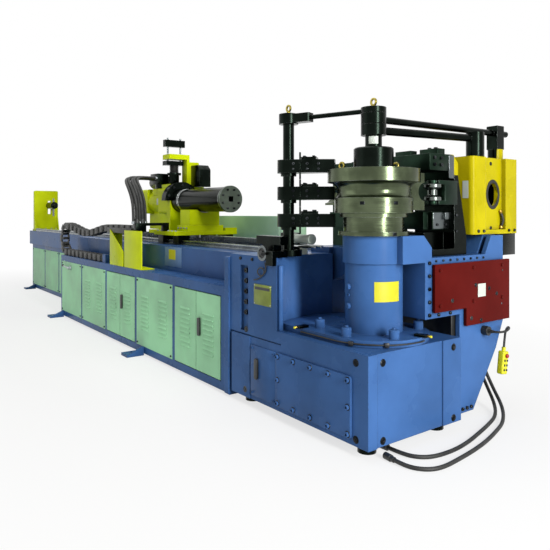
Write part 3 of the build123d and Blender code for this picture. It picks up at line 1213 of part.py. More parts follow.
top_plate = span(cyl_x - 45, flange_x0, BEND_R - CROSS_SPREAD / 2 - 26, column_y + 26, top_plate_z,
                 top_plate_z + TOP_PLATE_T)
for k in (-1, 1):
    top_plate -= disc(cyl_x, BEND_R + k * CROSS_SPREAD / 2, top_plate_z - 1,
                      top_plate_z + TOP_PLATE_T + 1, CROSS_ROD + RUN)
save("gear_housing", group([gearbox, tall + top_plate]))
bar_low = top_plate_z + TOP_PLATE_T + CROSS_DROP + 8
cross = span(cyl_x - 22, cyl_x + 22, BEND_R - CROSS_SPREAD / 2 - 34, BEND_R + CROSS_SPREAD / 2 + 34,
             bar_low, bar_low + CROSS_BAR)
cross += span(cyl_x - 40, cyl_x + 40, BEND_R - CROSS_SPREAD / 2 - 30, BEND_R + CROSS_SPREAD / 2 + 10,
              yoke_low, yoke_top)
for k in (-1, 1):
    cross += disc(cyl_x, BEND_R + k * CROSS_SPREAD / 2, yoke_top, bar_low + CROSS_BAR + 18, CROSS_ROD)
save("cross_head", cross)

# Motors: feed motor on the slanted bracket, chuck motor behind the gear housing
motor_out = flange_x0 + FEED_MOTOR
motor = plate_xz(
    [(flange_x0, gear_top + 10), (motor_out, gear_top + 10), (motor_out, top_plate_z - 90),
     (motor_out - 40, top_plate_z - 50), (flange_x0, top_plate_z - 50)],
    column_y + 40, column_y + 150,
)
chuck_motor = disc(motor_x, motor_y, gear_top, gear_top + MOTOR_HIGH, MOTOR_R)
chuck_motor += bar_x(motor_x - 180, motor_x + 40, motor_y, gear_top + 62, 58)
terminal_y = motor_y - 100
chuck_motor += span(motor_x - 60, motor_x + 90, terminal_y, motor_y, gear_top + 40,
                    gear_top + MOTOR_HIGH + 40)

# Cable chain: a straight run on the ledge, a half turn of whole links, a sagging run to the carriage
turns = round(pi / (2 * asin(LINK / 2 / LOOP_R)))
step = pi / turns
loop_r = LINK / 2 / sin(step / 2)
chain_low = LEDGE + LINK_HIGH / 2 + SLIDE
chain_high = chain_low + 2 * loop_r


def link_at(x, z, turn):
    """One link: a six-sided side view, so that links touch only at their pivots."""
    half = LINK / 2 - 0.3
    short = LINK * 0.38
    high = LINK_HIGH / 2
    side = [(-half, 0), (-short, -high), (short, -high), (half, 0), (short, high), (-short, high)]
    return Pos(x, CHAIN_Y, z) * Rot(0, -turn, 0) * plate_xz(side, -LINK_WIDE / 2, LINK_WIDE / 2)


def sag_at(x):
    """Height of the upper run: level at its ends and hanging between the loop and the tray."""
    if x <= CHAIN_LOOP or x >= TRAY_START:
        return chain_high
    share = (x - CHAIN_LOOP) / (TRAY_START - CHAIN_LOOP)
    return chain_high - CHAIN_SAG * sin(pi * share) ** 2


links = []
run_low = int((CHAIN_ANCHOR - CHAIN_LOOP) / LINK)
loop_x = CHAIN_ANCHOR - run_low * LINK
for i in range(run_low):
    links.append(link_at(CHAIN_ANCHOR - LINK * (i + 0.5), chain_low, 180))
for i in range(turns):
    a = -pi / 2 - (i + 0.5) * step
    mid_r = loop_r * cos(step / 2)
    links.append(link_at(loop_x + mid_r * cos(a), chain_low + loop_r + mid_r * sin(a), degrees(a) - 90))
x = loop_x
z = chain_high
while x + LINK < CHAIN_END:
    dz = sag_at(x + LINK) - z
    dx = sqrt(LINK ** 2 - dz ** 2)
    links.append(link_at(x + dx / 2, z + dz / 2, degrees(atan2(dz, dx))))
    x += dx
    z += dz
chain_tip = x
save("cable_chain", group(links))

# Tray of the chain and the two brackets that carry it
tray_end = TRAY_START + TRAY_LENGTH
tray_y0 = CHAIN_Y - LINK_WIDE / 2 - 4
tray_y1 = CHAIN_Y + LINK_WIDE / 2 + 4
tray_z = chain_high - LINK_HIGH / 2 - SLIDE
tray = span(TRAY_START, tray_end, tray_y0 - TRAY_T, tray_y1 + TRAY_T, tray_z - TRAY_T, tray_z)
for y in (tray_y0 - TRAY_T, tray_y1):
    tray += span(TRAY_START, tray_end, y, y + TRAY_T, tray_z, tray_z + 36)
bracket_y0 = tray_y0 - TRAY_T - BRACKET_T
bracket_y1 = bracket_y0 + BRACKET_T
near_x0 = TRAY_START + 90
near_x1 = near_x0 + BRACKET_LENGTH - 40
near = plate_xz(
    [(near_x0, LEDGE), (near_x1, LEDGE), (near_x1, LEDGE + 0.45 * (tray_z - LEDGE)),
     (near_x0, tray_z + 20)],
    bracket_y0, bracket_y1,
)
near += span(near_x0, near_x0 + BRACKET_T, bracket_y1, tray_y1, LEDGE, tray_z - TRAY_T)
near += span(near_x0, near_x1, bracket_y1, tray_y1, LEDGE, LEDGE + BRACKET_T)
far_x0 = tray_end + 220 - BRACKET_LENGTH
far_x1 = tray_end + 220
far = span(far_x0, far_x1, bracket_y0, bracket_y1, LEDGE, tray_z + 20)
far += span(far_x0, far_x0 + BRACKET_T, bracket_y1, tray_y1, LEDGE, tray_z - TRAY_T)
far += span(far_x0, far_x1, bracket_y1, tray_y1, LEDGE, LEDGE + BRACKET_T)
save("chain_brackets", group([tray, near, far]))

# Arm from the carriage to the chain's moving end
arm_x1 = chain_tip + ANCHOR
arm_top = chain_high + LINK_HIGH / 2 + 18
saddle_edge = BEND_R - SADDLE_HALF
chain_arm = span(chain_tip, arm_x1, CHAIN_Y - LINK_WIDE / 2, CHAIN_Y + LINK_WIDE / 2,
                 arm_top - LINK_HIGH - 8, arm_top)
chain_arm += span(chain_tip + 10, arm_x1, CHAIN_Y + LINK_WIDE / 2, saddle_edge + 40, arm_top - 22,
                  arm_top)
chain_arm += span(chain_tip + 10, arm_x1, saddle_edge, saddle_edge + 40, saddle_top, arm_top - 22)
save("carriage_drives", group([motor, chuck_motor, lift, chain_arm]))

# Pendant on the wing: socket, hand grip that hangs from it
socket_y = WING_IN + SOCKET_IN
socket_z = RED_DROP - SOCKET_DROP
lead_start = HUB_FRONT + SOCKET_LONG
socket = bar_x(HUB_FRONT, lead_start, socket_y, socket_z, SOCKET_R)
grip_place = Pos(HUB_FRONT + 20, socket_y + 158, socket_z - 128) * Rot(-8, 0, 0)
grip = grip_place * Pos(0, 0, -GRIP_HIGH / 2) * Box(36, 52, GRIP_HIGH)
grip = fillet(grip.edges(), 9)
grip += grip_place * Pos(0, 0, 10) * Cylinder(LEAD_R * 1.8, 20)
save("pendant", group([socket, grip]))

# Lead of the pendant: out of the socket, over and down into the grip
above = (grip_place * Pos(0, 0, 76)).position
tip = (grip_place * Pos(0, 0, 20)).position
lead_route = []
for dx, dy, dz in ((0, 0, 0), (49, 0, 0), (73, 39, 5), (61, 92, 13), (26, 137, 11), (-3, 162, -12)):
    lead_route.append((lead_start + dx, socket_y + dy, socket_z + dz))
lead_route.append((above.X, above.Y, above.Z))
lead_route.append((tip.X, tip.Y, tip.Z))
save("pendant_lead", hose(lead_route, LEAD_R, "pendant lead"))

# Floor cables: out of the arm, past the edge of the wing, round in front of the base
floor = CABLE_R + 0.4
plug_z = PLUG_R + 0.4
way_out = ARM_END - 96
near_x = BASE_FRONT
gland_y = GLAND_IN - BASE_HALF
route_a = [
    (70, way_out, ARM_LOW), (70, way_out, 430), (84, way_out + 8, 318), (118, way_out + 16, 205),
    (188, way_out - 2, 106), (284, way_out - 64, 42), (358, way_out - 176, floor + 2),
    (406, way_out - 318, floor), (446, 262, floor), (near_x + 205, 128, floor), (near_x + 221, -4, floor),
    (near_x + 230, -110, floor), (near_x + 213, -176, floor), (near_x + 168, -222, floor + 2),
    (near_x + 117, -238, plug_z), (near_x + 74, -233.5, plug_z),
]
route_b = [
    (20, way_out + 20, ARM_LOW), (20, way_out + 20, 428), (34, way_out + 38, 312), (66, way_out + 44, 196),
    (132, way_out + 28, 96), (216, way_out - 30, 34), (286, way_out - 130, floor + 2),
    (330, way_out - 260, floor), (366, 330, floor), (near_x + 135, 190, floor), (near_x + 153, 60, floor),
    (near_x + 143, -70, floor), (near_x + 97, gland_y + 22, floor + 2), (near_x + 33, gland_y, plug_z),
    (near_x - 31, gland_y, plug_z),
]
save("floor_cable_a", hose(route_a, CABLE_R, "floor cable a"))
save("floor_cable_b", hose(route_b, CABLE_R, "floor cable b"))

# Connector at the loose end, and the gland below the base that the other cable enters
before = Vector(*route_a[-2])
end = Vector(*route_a[-1])
way = (end - before).normalized()
ferrule = end + way * (PLUG_LONG * 0.35)
plug = bar((end.X, end.Y, end.Z), (ferrule.X, ferrule.Y, ferrule.Z), PLUG_R * 0.8)
far_end = end + way * PLUG_LONG
plug += bar((ferrule.X, ferrule.Y, ferrule.Z), (far_end.X, far_end.Y, far_end.Z), PLUG_R)
save("cable_plug", plug)
gland_x = near_x - 31
gland_z = plug_z
gland = bar_x(gland_x - 46, gland_x, gland_y, gland_z, PLUG_R)
gland += span(gland_x - 40, gland_x - 16, gland_y - PLUG_R, gland_y + PLUG_R, gland_z, BASE_BOTTOM)
fittings.append(gland)
save("small_fittings", group(fittings))

# Conduits from the chain's end, back and over into the box of the chuck motor
lines = (("conduit_a", -22, -22), ("conduit_b", 22, 22))
shares = [
    (0, 0, 0), (0, 0, 0.27), (0.075, 0.005, 0.508), (0.217, 0.02, 0.696), (0.405, 0.066, 0.831),
    (0.603, 0.164, 0.919), (0.782, 0.337, 0.973), (0.932, 0.57, 0.995), (1, 0.809, 1), (1, 1, 1),
]
for name, start_off, end_off in lines:
    start = (chain_tip + 40, CHAIN_Y + start_off, arm_top)
    stop = (motor_x + 10 + end_off, terminal_y, gear_top + MOTOR_HIGH)
    route = []
    for share in shares:
        route.append(tuple(a + f * (b - a) for a, b, f in zip(start, stop, share)))
    save(name, hose(route, HOSE_R, name))
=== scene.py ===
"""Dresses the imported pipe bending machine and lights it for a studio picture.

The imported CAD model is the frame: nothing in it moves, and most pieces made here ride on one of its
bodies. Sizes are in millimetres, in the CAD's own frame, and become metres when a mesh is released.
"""

import json
import logging
import math
from collections.abc import Callable, Iterable, Sequence
from dataclasses import dataclass
from enum import Enum
from itertools import product

import bmesh
import bpy
from mathutils import Matrix, Vector

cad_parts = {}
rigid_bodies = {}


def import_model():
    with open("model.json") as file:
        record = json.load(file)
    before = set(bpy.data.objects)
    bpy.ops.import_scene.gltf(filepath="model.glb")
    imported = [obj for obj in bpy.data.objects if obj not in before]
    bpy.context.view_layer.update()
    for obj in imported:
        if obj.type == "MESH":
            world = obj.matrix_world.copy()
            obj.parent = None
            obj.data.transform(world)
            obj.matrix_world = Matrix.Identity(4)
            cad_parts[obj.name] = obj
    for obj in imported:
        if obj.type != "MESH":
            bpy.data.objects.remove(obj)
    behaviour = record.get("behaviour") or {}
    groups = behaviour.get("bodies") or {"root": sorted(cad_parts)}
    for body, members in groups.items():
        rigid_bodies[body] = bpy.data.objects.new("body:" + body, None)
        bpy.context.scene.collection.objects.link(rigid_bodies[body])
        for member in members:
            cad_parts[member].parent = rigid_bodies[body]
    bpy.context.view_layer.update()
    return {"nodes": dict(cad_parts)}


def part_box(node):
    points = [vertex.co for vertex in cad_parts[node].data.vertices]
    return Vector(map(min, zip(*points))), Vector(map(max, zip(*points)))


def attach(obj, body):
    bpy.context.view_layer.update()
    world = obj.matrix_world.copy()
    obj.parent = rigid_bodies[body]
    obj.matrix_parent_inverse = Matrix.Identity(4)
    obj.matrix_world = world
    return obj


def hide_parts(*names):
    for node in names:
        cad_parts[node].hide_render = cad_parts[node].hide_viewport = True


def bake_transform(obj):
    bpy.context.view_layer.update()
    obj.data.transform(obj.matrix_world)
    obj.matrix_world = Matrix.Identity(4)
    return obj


for leftover in list(bpy.data.objects):
    bpy.data.objects.remove(leftover)

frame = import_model()

logging.basicConfig(level=logging.INFO, format="%(message)s")
log = logging.getLogger("pipe_bender")

MM = 0.001
HANDLE_WIDE = 60.0
AHEAD, DOORS, REAR, UP = (1, 0, 0), (0, -1, 0), (0, 1, 0), (0, 0, 1)

# Settings of the nodes that mix colours and of those that calculate.
RGBA = {"data_type": "RGBA"}
MINUS, TIMES, DOT, LENGTH, LARGER = (
    {"operation": how} for how in ("SUBTRACT", "MULTIPLY", "DOT_PRODUCT", "LENGTH", "MAXIMUM")
)

Pair = tuple[float, float]
Pairs = Sequence[Pair]
Profile = Pairs
Point = Sequence[float]
Route = Sequence[Point]
Tree = bpy.types.NodeTree
Socket = bpy.types.NodeSocket


def linear(hex_code: str) -> tuple[float, float, float, float]:
    """Turns an sRGB hex colour into linear light.

    Args:
        hex_code: six hex digits with a leading hash.

    Returns:
        Linear red, green and blue, with an alpha of one.
    """
    parts = [int(hex_code[i : i + 2], 16) / 255 for i in (1, 3, 5)]
    light = [c / 12.92 if c <= 0.04045 else ((c + 0.055) / 1.055) ** 2.4 for c in parts]
    return light[0], light[1], light[2], 1.0


def toned(hex_code: str, scale: float, lift: float = 0.0) -> tuple[float, ...]:
    """Returns a hex colour in linear light, scaled and then lifted."""
    return (*[min(1.0, c * scale + lift) for c in linear(hex_code)[:3]], 1.0)


def add(
    tree: Tree, kind: str, settings: dict | None = None, out: str = "", **inputs: object
) -> Socket | None:
    """Adds one shader node with its settings, its values and its links.

    Args:
        tree: the material's node tree.
        kind: the node's type name, without its family.
        settings: properties to set on the node first.
        out: the output that is wanted, where that isn't the first one in use.
        inputs: input sockets by name, each given a value or the socket that feeds it.

    Returns:
        The wanted output, or none for a node that ends the tree.
    """
    node = tree.nodes.new("ShaderNode" + kind)
    for name, value in (settings or {}).items():
        setattr(node, name, value)
    for name, value in inputs.items():
        socket = next(
            s
            for s in node.inputs
            if s.enabled and name in (s.identifier.lower(), s.name.replace(" ", "_").lower())
        )
        if isinstance(value, Socket):
            tree.links.new(value, socket)
        else:
            socket.default_value = value
    return next((s for s in node.outputs if s.enabled and out in ("", s.name)), None)


class Grain(Enum):
    """Which way a tool's marks run on a metal surface."""

    ROUND_Z = "turned about an upright axis"
    ROUND_X = "turned about an axis along the bed"
    ALONG_X = "ground along the bed"
    NONE = "no direction"


@dataclass(frozen=True)
class Finish:
    """A surface finish: its name, its slot in the record and its main colour."""

    name: str
    slot: str
    colour: str
    roughness: float

    def material(self) -> bpy.types.Material:
        """Makes the finish's material, once.

        Returns:
            The material, new or made before.
        """
        made = bpy.data.materials.get(self.name)
        if made is None:
            made = bpy.data.materials.new(self.name)
            made.use_nodes = True
            made.node_tree.nodes.clear()
            self.lay(made.node_tree)
        return made

    def lay(self, tree: Tree) -> None:
        """Lays the finish's nodes into an empty tree."""
        raise NotImplementedError

    def rounded_edges(self, tree: Tree, radius_mm: float) -> tuple[Socket, Socket]:
        """Finds the part's edges.

        Args:
            tree: the material's node tree.
            radius_mm: how far from an edge its rounding reaches.

        Returns:
            The rounded normal and a mask that is high along edges.
        """
        soft = add(tree, "Bevel", {"samples": 6}, radius=radius_mm * MM)
        flat = add(tree, "NewGeometry", out="Normal")
        match = add(tree, "VectorMath", DOT, vector=soft, vector_001=flat)
        return soft, add(tree, "MapRange", value=match, from_min=0.985, from_max=0.86)

    def coat(self, tree: Tree, relief: Socket, soft: Socket, bump: Pair, **inputs: object) -> None:
        """Ends the tree with a surface in relief.

        Args:
            tree: the material's node tree.
            relief: the pattern that stands up.
            soft: the normal with rounded edges.
            bump: the relief's strength and its depth in millimetres.
            inputs: the surface's other inputs.
        """
        strength, depth = bump
        skin = add(tree, "Bump", strength=strength, distance=depth * MM, height=relief, normal=soft)
        add(tree, "OutputMaterial", surface=add(tree, "BsdfPrincipled", normal=skin, **inputs))


@dataclass(frozen=True)
class Enamel(Finish):
    """Two-pack enamel sprayed on steel plate."""

    worn: str = "#3A3C3E"
    # Real orange peel is about 1 mm wide: it is drawn coarser, since that is too fine to show in the render.
    peel_mm: float = 5.0
    cloud_mm: float = 380.0
    chip_mm: float = 11.0
    edge_mm: float = 4.0
    # How far into a corner the painted shade reaches, and how dark it grows.
    corner_mm: float = 90.0
    corner_shade: float = 0.55
    mirror: float = 0.2

    def lay(self, tree: Tree) -> None:
        """Lays a glossy film with orange peel, cloudy shop dirt, painted shade in the corners and chipped
        edges.

        Args:
            tree: the material's empty node tree.
        """
        place = add(tree, "TexCoord", out="Object")
        cloud = add(tree, "TexNoise", vector=place, scale=1000 / self.cloud_mm, detail=5.0)
        chips = add(tree, "TexNoise", vector=place, scale=1000 / self.chip_mm, detail=3.0)
        peel = add(tree, "TexNoise", vector=place, scale=1000 / self.peel_mm, detail=1.0)
        soft, edge = self.rounded_edges(tree, self.edge_mm)
        corner = add(tree, "AmbientOcclusion", {"samples": 6}, "AO", distance=self.corner_mm * MM)

        # The film is a little lighter and duller where it has been wiped, darker where oil mist has settled.
        wiped, misted = toned(self.colour, 1.10, 0.004), toned(self.colour, 0.80)
        drift = add(tree, "MapRange", value=cloud, from_min=0.36, from_max=0.66)
        film = add(tree, "Mix", RGBA, factor=drift, a=misted, b=wiped)
        # Painted shade: the film darkens where the ambient occlusion finds a corner.
        deep = {"from_min": 0.25, "from_max": 0.85, "to_min": self.corner_shade, "to_max": 0.0}
        shade = add(tree, "MapRange", value=corner, **deep)
        film = add(tree, "Mix", RGBA, factor=shade, a=film, b=toned(self.colour, 0.22, 0.004))
        flaked = add(tree, "MapRange", value=chips, from_min=0.55, from_max=0.66)
        bare = add(tree, "Math", TIMES, value=flaked, value_001=edge)
        film = add(tree, "Mix", RGBA, factor=bare, a=film, b=linear(self.worn))
        sheen = {"to_min": self.roughness - 0.06, "to_max": self.roughness + 0.10}
        gloss = add(tree, "MapRange", value=cloud, from_min=0.3, from_max=0.7, **sheen)
        # Oil mist and dust on the film leave less of the mirror image than clean enamel has.
        surface = {"base_color": film, "roughness": gloss, "specular_ior_level": self.mirror}
        self.coat(tree, peel, soft, (0.06, 1.0), ior=1.5, **surface)


@dataclass(frozen=True)
class Steel(Finish):
    """Bare, ground, turned or chemically blackened steel."""

    worn: str = "#B9BCBC"
    grain: Grain = Grain.NONE
    centre: tuple[float, float, float] = (0.0, 0.0, 0.0)
    # Real tool marks lie about 0.2 mm apart: they are drawn coarser, since those are too fine to show.
    pitch_mm: float = 3.0
    stain_mm: float = 90.0
    edge_mm: float = 2.5
    metallic: float = 1.0
    stain: float = 0.3

    def tool_marks(self, tree: Tree, place: Socket) -> Socket:
        """Lays the marks that the tool left.

        Args:
            tree: the material's node tree.
            place: where a point of the surface is.

        Returns:
            The pattern of marks.
        """
        local = add(tree, "VectorMath", MINUS, vector=place, vector_001=Vector(self.centre) * MM)
        if self.grain in (Grain.ROUND_Z, Grain.ROUND_X):
            # Tool marks lie on circles, so the pattern reads only the radius and the height along the axis.
            across, axis = ((1, 1, 0), "Z") if self.grain is Grain.ROUND_Z else ((0, 1, 1), "X")
            flat = add(tree, "VectorMath", TIMES, vector=local, vector_001=across)
            radius = add(tree, "VectorMath", LENGTH, vector=flat)
            along = add(tree, "SeparateXYZ", out=axis, vector=local)
            marked = add(tree, "CombineXYZ", x=radius, z=along)
        else:
            stretch = (0.03 if self.grain is Grain.ALONG_X else 1.0, 1.0, 1.0)
            marked = add(tree, "VectorMath", TIMES, vector=local, vector_001=stretch)
        return add(tree, "TexNoise", vector=marked, scale=1000 / self.pitch_mm, detail=2.0)

    def lay(self, tree: Tree) -> None:
        """Lays metal with tool marks, oil stains and edges rubbed bright.

        Args:
            tree: the material's empty node tree.
        """
        place = add(tree, "TexCoord", out="Object")
        marks = self.tool_marks(tree, place)
        soft, edge = self.rounded_edges(tree, self.edge_mm)
        stains = add(tree, "TexNoise", vector=place, scale=1000 / self.stain_mm, detail=6.0)
        patch = add(tree, "MapRange", value=stains, from_min=0.40, from_max=0.62)
        dull = toned(self.colour, 1 - self.stain)
        tint = add(tree, "Mix", RGBA, factor=patch, a=dull, b=linear(self.colour))
        rubbed = add(tree, "Math", TIMES, value=edge, value_001=patch)
        tint = add(tree, "Mix", RGBA, factor=rubbed, a=tint, b=linear(self.worn))
        sheen = {"to_min": max(0.05, self.roughness - 0.08), "to_max": self.roughness + 0.08}
        gloss = add(tree, "MapRange", value=marks, from_min=0.3, from_max=0.7, **sheen)
        self.coat(tree, marks, soft, (0.10, 0.6), base_color=tint, roughness=gloss, metallic=self.metallic)


@dataclass(frozen=True)
class Polymer(Finish):
    """Moulded or extruded plastic and rubber."""

    # Real spark grain is about 0.1 mm: it is drawn coarser, since that is too fine to show in the render.
    grain_mm: float = 1.6
    cloud_mm: float = 60.0
    edge_mm: float = 1.5
    dust: str = "#6A6A64"
    transmission: float = 0.0

    def lay(self, tree: Tree) -> None:
        """Lays a moulded skin with a fine spark-eroded grain, a thin dust in patches and a little more on its
        edges.

        Args:
            tree: the material's empty node tree.
        """
        place = add(tree, "TexCoord", out="Object")
        grain = add(tree, "TexNoise", vector=place, scale=1000 / self.grain_mm, detail=2.0)
        cloud = add(tree, "TexNoise", vector=place, scale=1000 / self.cloud_mm, detail=4.0)
        soft, edge = self.rounded_edges(tree, self.edge_mm)
        powder = add(tree, "MapRange", value=cloud, from_min=0.42, from_max=0.72, to_max=0.16)
        tint = add(tree, "Mix", RGBA, factor=powder, a=linear(self.colour), b=linear(self.dust))
        rubbed = add(tree, "Math", TIMES, value=edge, value_001=0.35)
        tint = add(tree, "Mix", RGBA, factor=rubbed, a=tint, b=linear(self.dust))
        surface = {"base_color": tint, "roughness": self.roughness}
        self.coat(tree, grain, soft, (0.08, 0.4), ior=1.49, transmission_weight=self.transmission, **surface)


# Sprayed enamel: a smooth film with slight orange peel, so broad soft highlights and chipped corners.
BLUE = Enamel("mid blue sprayed enamel", "blue_enamel", "#3F67A0", 0.26, mirror=0.08)
MINT = Enamel("mint sprayed enamel", "mint_enamel", "#AEECBB", 0.42, worn="#5F6A62")
LEMON = Enamel(
    "lemon sprayed enamel", "lemon_enamel", "#E0F004", 0.30, worn="#4C4A20", corner_shade=0.45, mirror=0.08
)
YELLOW = Enamel(
    "warm yellow sprayed enamel", "lemon_enamel", "#BDB002", 0.28, worn="#4C4A20", corner_shade=0.5, mirror=0.08
)
RED = Enamel("deep red sprayed enamel", "red_enamel", "#560702", 0.30, worn="#3A1410", mirror=0.04)
PALE = Enamel("pale blue sprayed enamel", "blue_enamel", "#6E8FB4", 0.44)
# Painted light: a paler copy of the mint enamel with less painted shade in its corners, so that the control
# cabinet's shaded faces come out as light as lit mint.
MINT_PAINTED_LIGHTER = Enamel("mint sprayed enamel with painted light", "mint_enamel", "#CCFFD0", 0.42, worn="#5F6A62", corner_shade=0.2)
GREY = Enamel("tank grey sprayed enamel", "blue_enamel", "#76848A", 0.42)

# Blackened steel: a thin dark oxide full of oil, so it stays dark with soft sheen and bright rubbed edges.
BLACK = Steel("oil-blackened steel", "blackened_steel", "#161C18", 0.24, worn="#5C615E")
GREEN = Steel("green-black phosphated tool steel", "blackened_steel", "#223328", 0.38, worn="#66716A")
# Turned tool steel: fine circles left by the lathe under an oil film, so streaky grey highlights.
DIE = Steel(
    "lathe-turned die steel", "die_steel", "#5E6850", 0.22, grain=Grain.ROUND_Z, pitch_mm=4.0, stain=0.38
)
NOSE = Steel(
    "lathe-turned chuck steel",
    "die_steel",
    "#5C665C",
    0.34,
    grain=Grain.ROUND_X,
    centre=(0, 220, 1149),
    pitch_mm=4.0,
)
ROLLER = Steel(
    "lathe-turned roller steel",
    "machined_steel",
    "#6C736E",
    0.24,
    grain=Grain.ROUND_Z,
    centre=(108, 312, 0),
    pitch_mm=4.0,
)
# Drawn steel: smooth and grey, with a soft line of light along each rod.
DRAWN = Steel("bright-drawn rod steel", "machined_steel", "#6E7576", 0.26, stain=0.2)
# Ground steel: fine straight scratches, so a bright line along each bar.
GROUND = Steel("ground bearing steel", "machined_steel", "#8B9193", 0.24, grain=Grain.ALONG_X)
# Turned steel: pale and clean, so it catches the lamps.
BRIGHT = Steel("bright-turned steel", "machined_steel", "#C2C6C6", 0.22, stain=0.2)
# Zinc plate: a thin bluish coat that dulls with handling.
ZINC = Steel("zinc-plated steel", "machined_steel", "#AEB4B8", 0.34, stain=0.25)
# Yellow-passivated zinc: a thin iridescent coat, so lifting eyes look like dull gold.
GOLD = Steel("yellow-passivated zinc plate", "machined_steel", "#A99A48", 0.30, worn="#C8BE84", stain=0.25)
# Anodised aluminium tube: pale and satin, a little green in this light.
BARREL = Steel("satin anodised aluminium", "machined_steel", "#D6E2D4", 0.42, metallic=0.3, stain=0.12)
# Hard chrome: polished after plating, so it mirrors the room sharply.
CHROME = Steel("polished hard chrome", "machined_steel", "#CDD1D2", 0.12, stain=0.1)
# Turned brass: warm, with a soft sheen.
BRASS = Steel("bright-turned brass", "machined_steel", "#B5913F", 0.26, worn="#D8C284", stain=0.2)
# Black-oxide screws: dark heads with a worn rim.
SCREW = Steel("black-oxide screw steel", "blackened_steel", "#1E2124", 0.40, worn="#7C8082")
# Engraved aluminium with an olive anodised face, left blank: satin, and duller than bare metal.
OLIVE = Steel("olive anodised aluminium", "lemon_enamel", "#7C8A42", 0.38, worn="#B0B48A", metallic=0.8)

# Moulded nylon, PVC and ABS: a fine grain, so a dull even sheen.
NYLON = Polymer("moulded black nylon", "black_plastic", "#131513", 0.46)
DUCT = Polymer("extruded grey PVC", "black_plastic", "#5E6468", 0.46, dust="#8A8C88")
ABS = Polymer("moulded black ABS", "black_plastic", "#191B1C", 0.38)
PENDANT = Polymer("moulded yellow ABS", "pendant_plastic", "#D9D61C", 0.40, dust="#8A8730")
# Extruded rubber: matt black with a little bloom.
RUBBER = Polymer("extruded cable rubber", "cable_rubber", "#121312", 0.55, grain_mm=2.4)
# Blow-moulded polythene: milky, and light passes through it.
BOTTLE = Polymer("blow-moulded milky polythene", "pendant_plastic", "#DADDD2", 0.36, transmission=0.45)
# Vinyl film and card: flat colour with a slight sheen, left without words.
FILM_YELLOW = Polymer("bare yellow vinyl film", "pendant_plastic", "#CFC916", 0.42, dust="#A6A040")
FILM_WHITE = Polymer("bare white vinyl film", "pendant_plastic", "#CBD3C8", 0.42, dust="#B8BAB4")
DIAL = Polymer("printed white dial card", "pendant_plastic", "#E8EAE6", 0.5, dust="#C4C6C0")
# Moulded acetal: slick and strongly coloured, for knobs, needles and lamps.
RED_CAP = Polymer("moulded red acetal", "red_enamel", "#B0150C", 0.35, dust="#7A4038")
GREEN_CAP = Polymer("moulded green acetal", "mint_enamel", "#1C8A4A", 0.35, dust="#4C705C")


def around(turn: float, radius: float, height: float) -> Vector:
    """Returns a point about the bend axis from its turn in degrees, its radius and its height."""
    angle = math.radians(turn)
    return Vector((radius * math.cos(angle), radius * math.sin(angle), height))


def turned_place(at: Point, turn: float, axis: str = "Z") -> Matrix:
    """Returns the place of a piece that is turned by some degrees and then put at a point."""
    return Matrix.Translation(at) @ Matrix.Rotation(math.radians(turn), 4, axis)


def steps(first: float, step: float, count: int) -> list[float]:
    """Returns numbers in equal steps."""
    return [first + step * i for i in range(count)]


class Ends(Enum):
    """What becomes of the first and the last row of a form that is covered row by row."""

    OPEN = "left open"
    JOINED = "joined to each other"
    CAPPED = "closed with a face each"


@dataclass(frozen=True)
class Fixing:
    """A kind of screw head: its turned forms for a size of one, each with its facets and its profile."""

    forms: tuple[tuple[int, Profile], ...]
    grows_taller: bool = True


# A socket cap screw with its recess, by the radius of its head.
CAP = Fixing(
    (
        (24, ((1, 0), (1, 0.765), (0.88, 0.9), (0.52, 0.9))),
        (24, ((0.5304, 0.9), (0.52, 0.36), (0, 0.36))),
    )
)
# A hexagon bolt with its washer, by its size across.
HEX = Fixing(
    (
        (24, ((0, 0), (0.675, 0), (0.675, 0.11), (0.6, 0.15), (0, 0.15))),
        (6, ((0.55, 0.15), (0.55, 0.4515), (0.475, 0.525), (0, 0.525))),
    )
)
# A bolt that fills its counterbore, by the radius of that. Its heights are in millimetres at every size.
SUNK = Fixing(
    ((24, ((1, 0), (1, 0.8), (0.74, 0.8), (0.72, 1.8), (0.66, 2.2), (0.36, 2.2), (0.34, 1), (0, 1))),), False
)


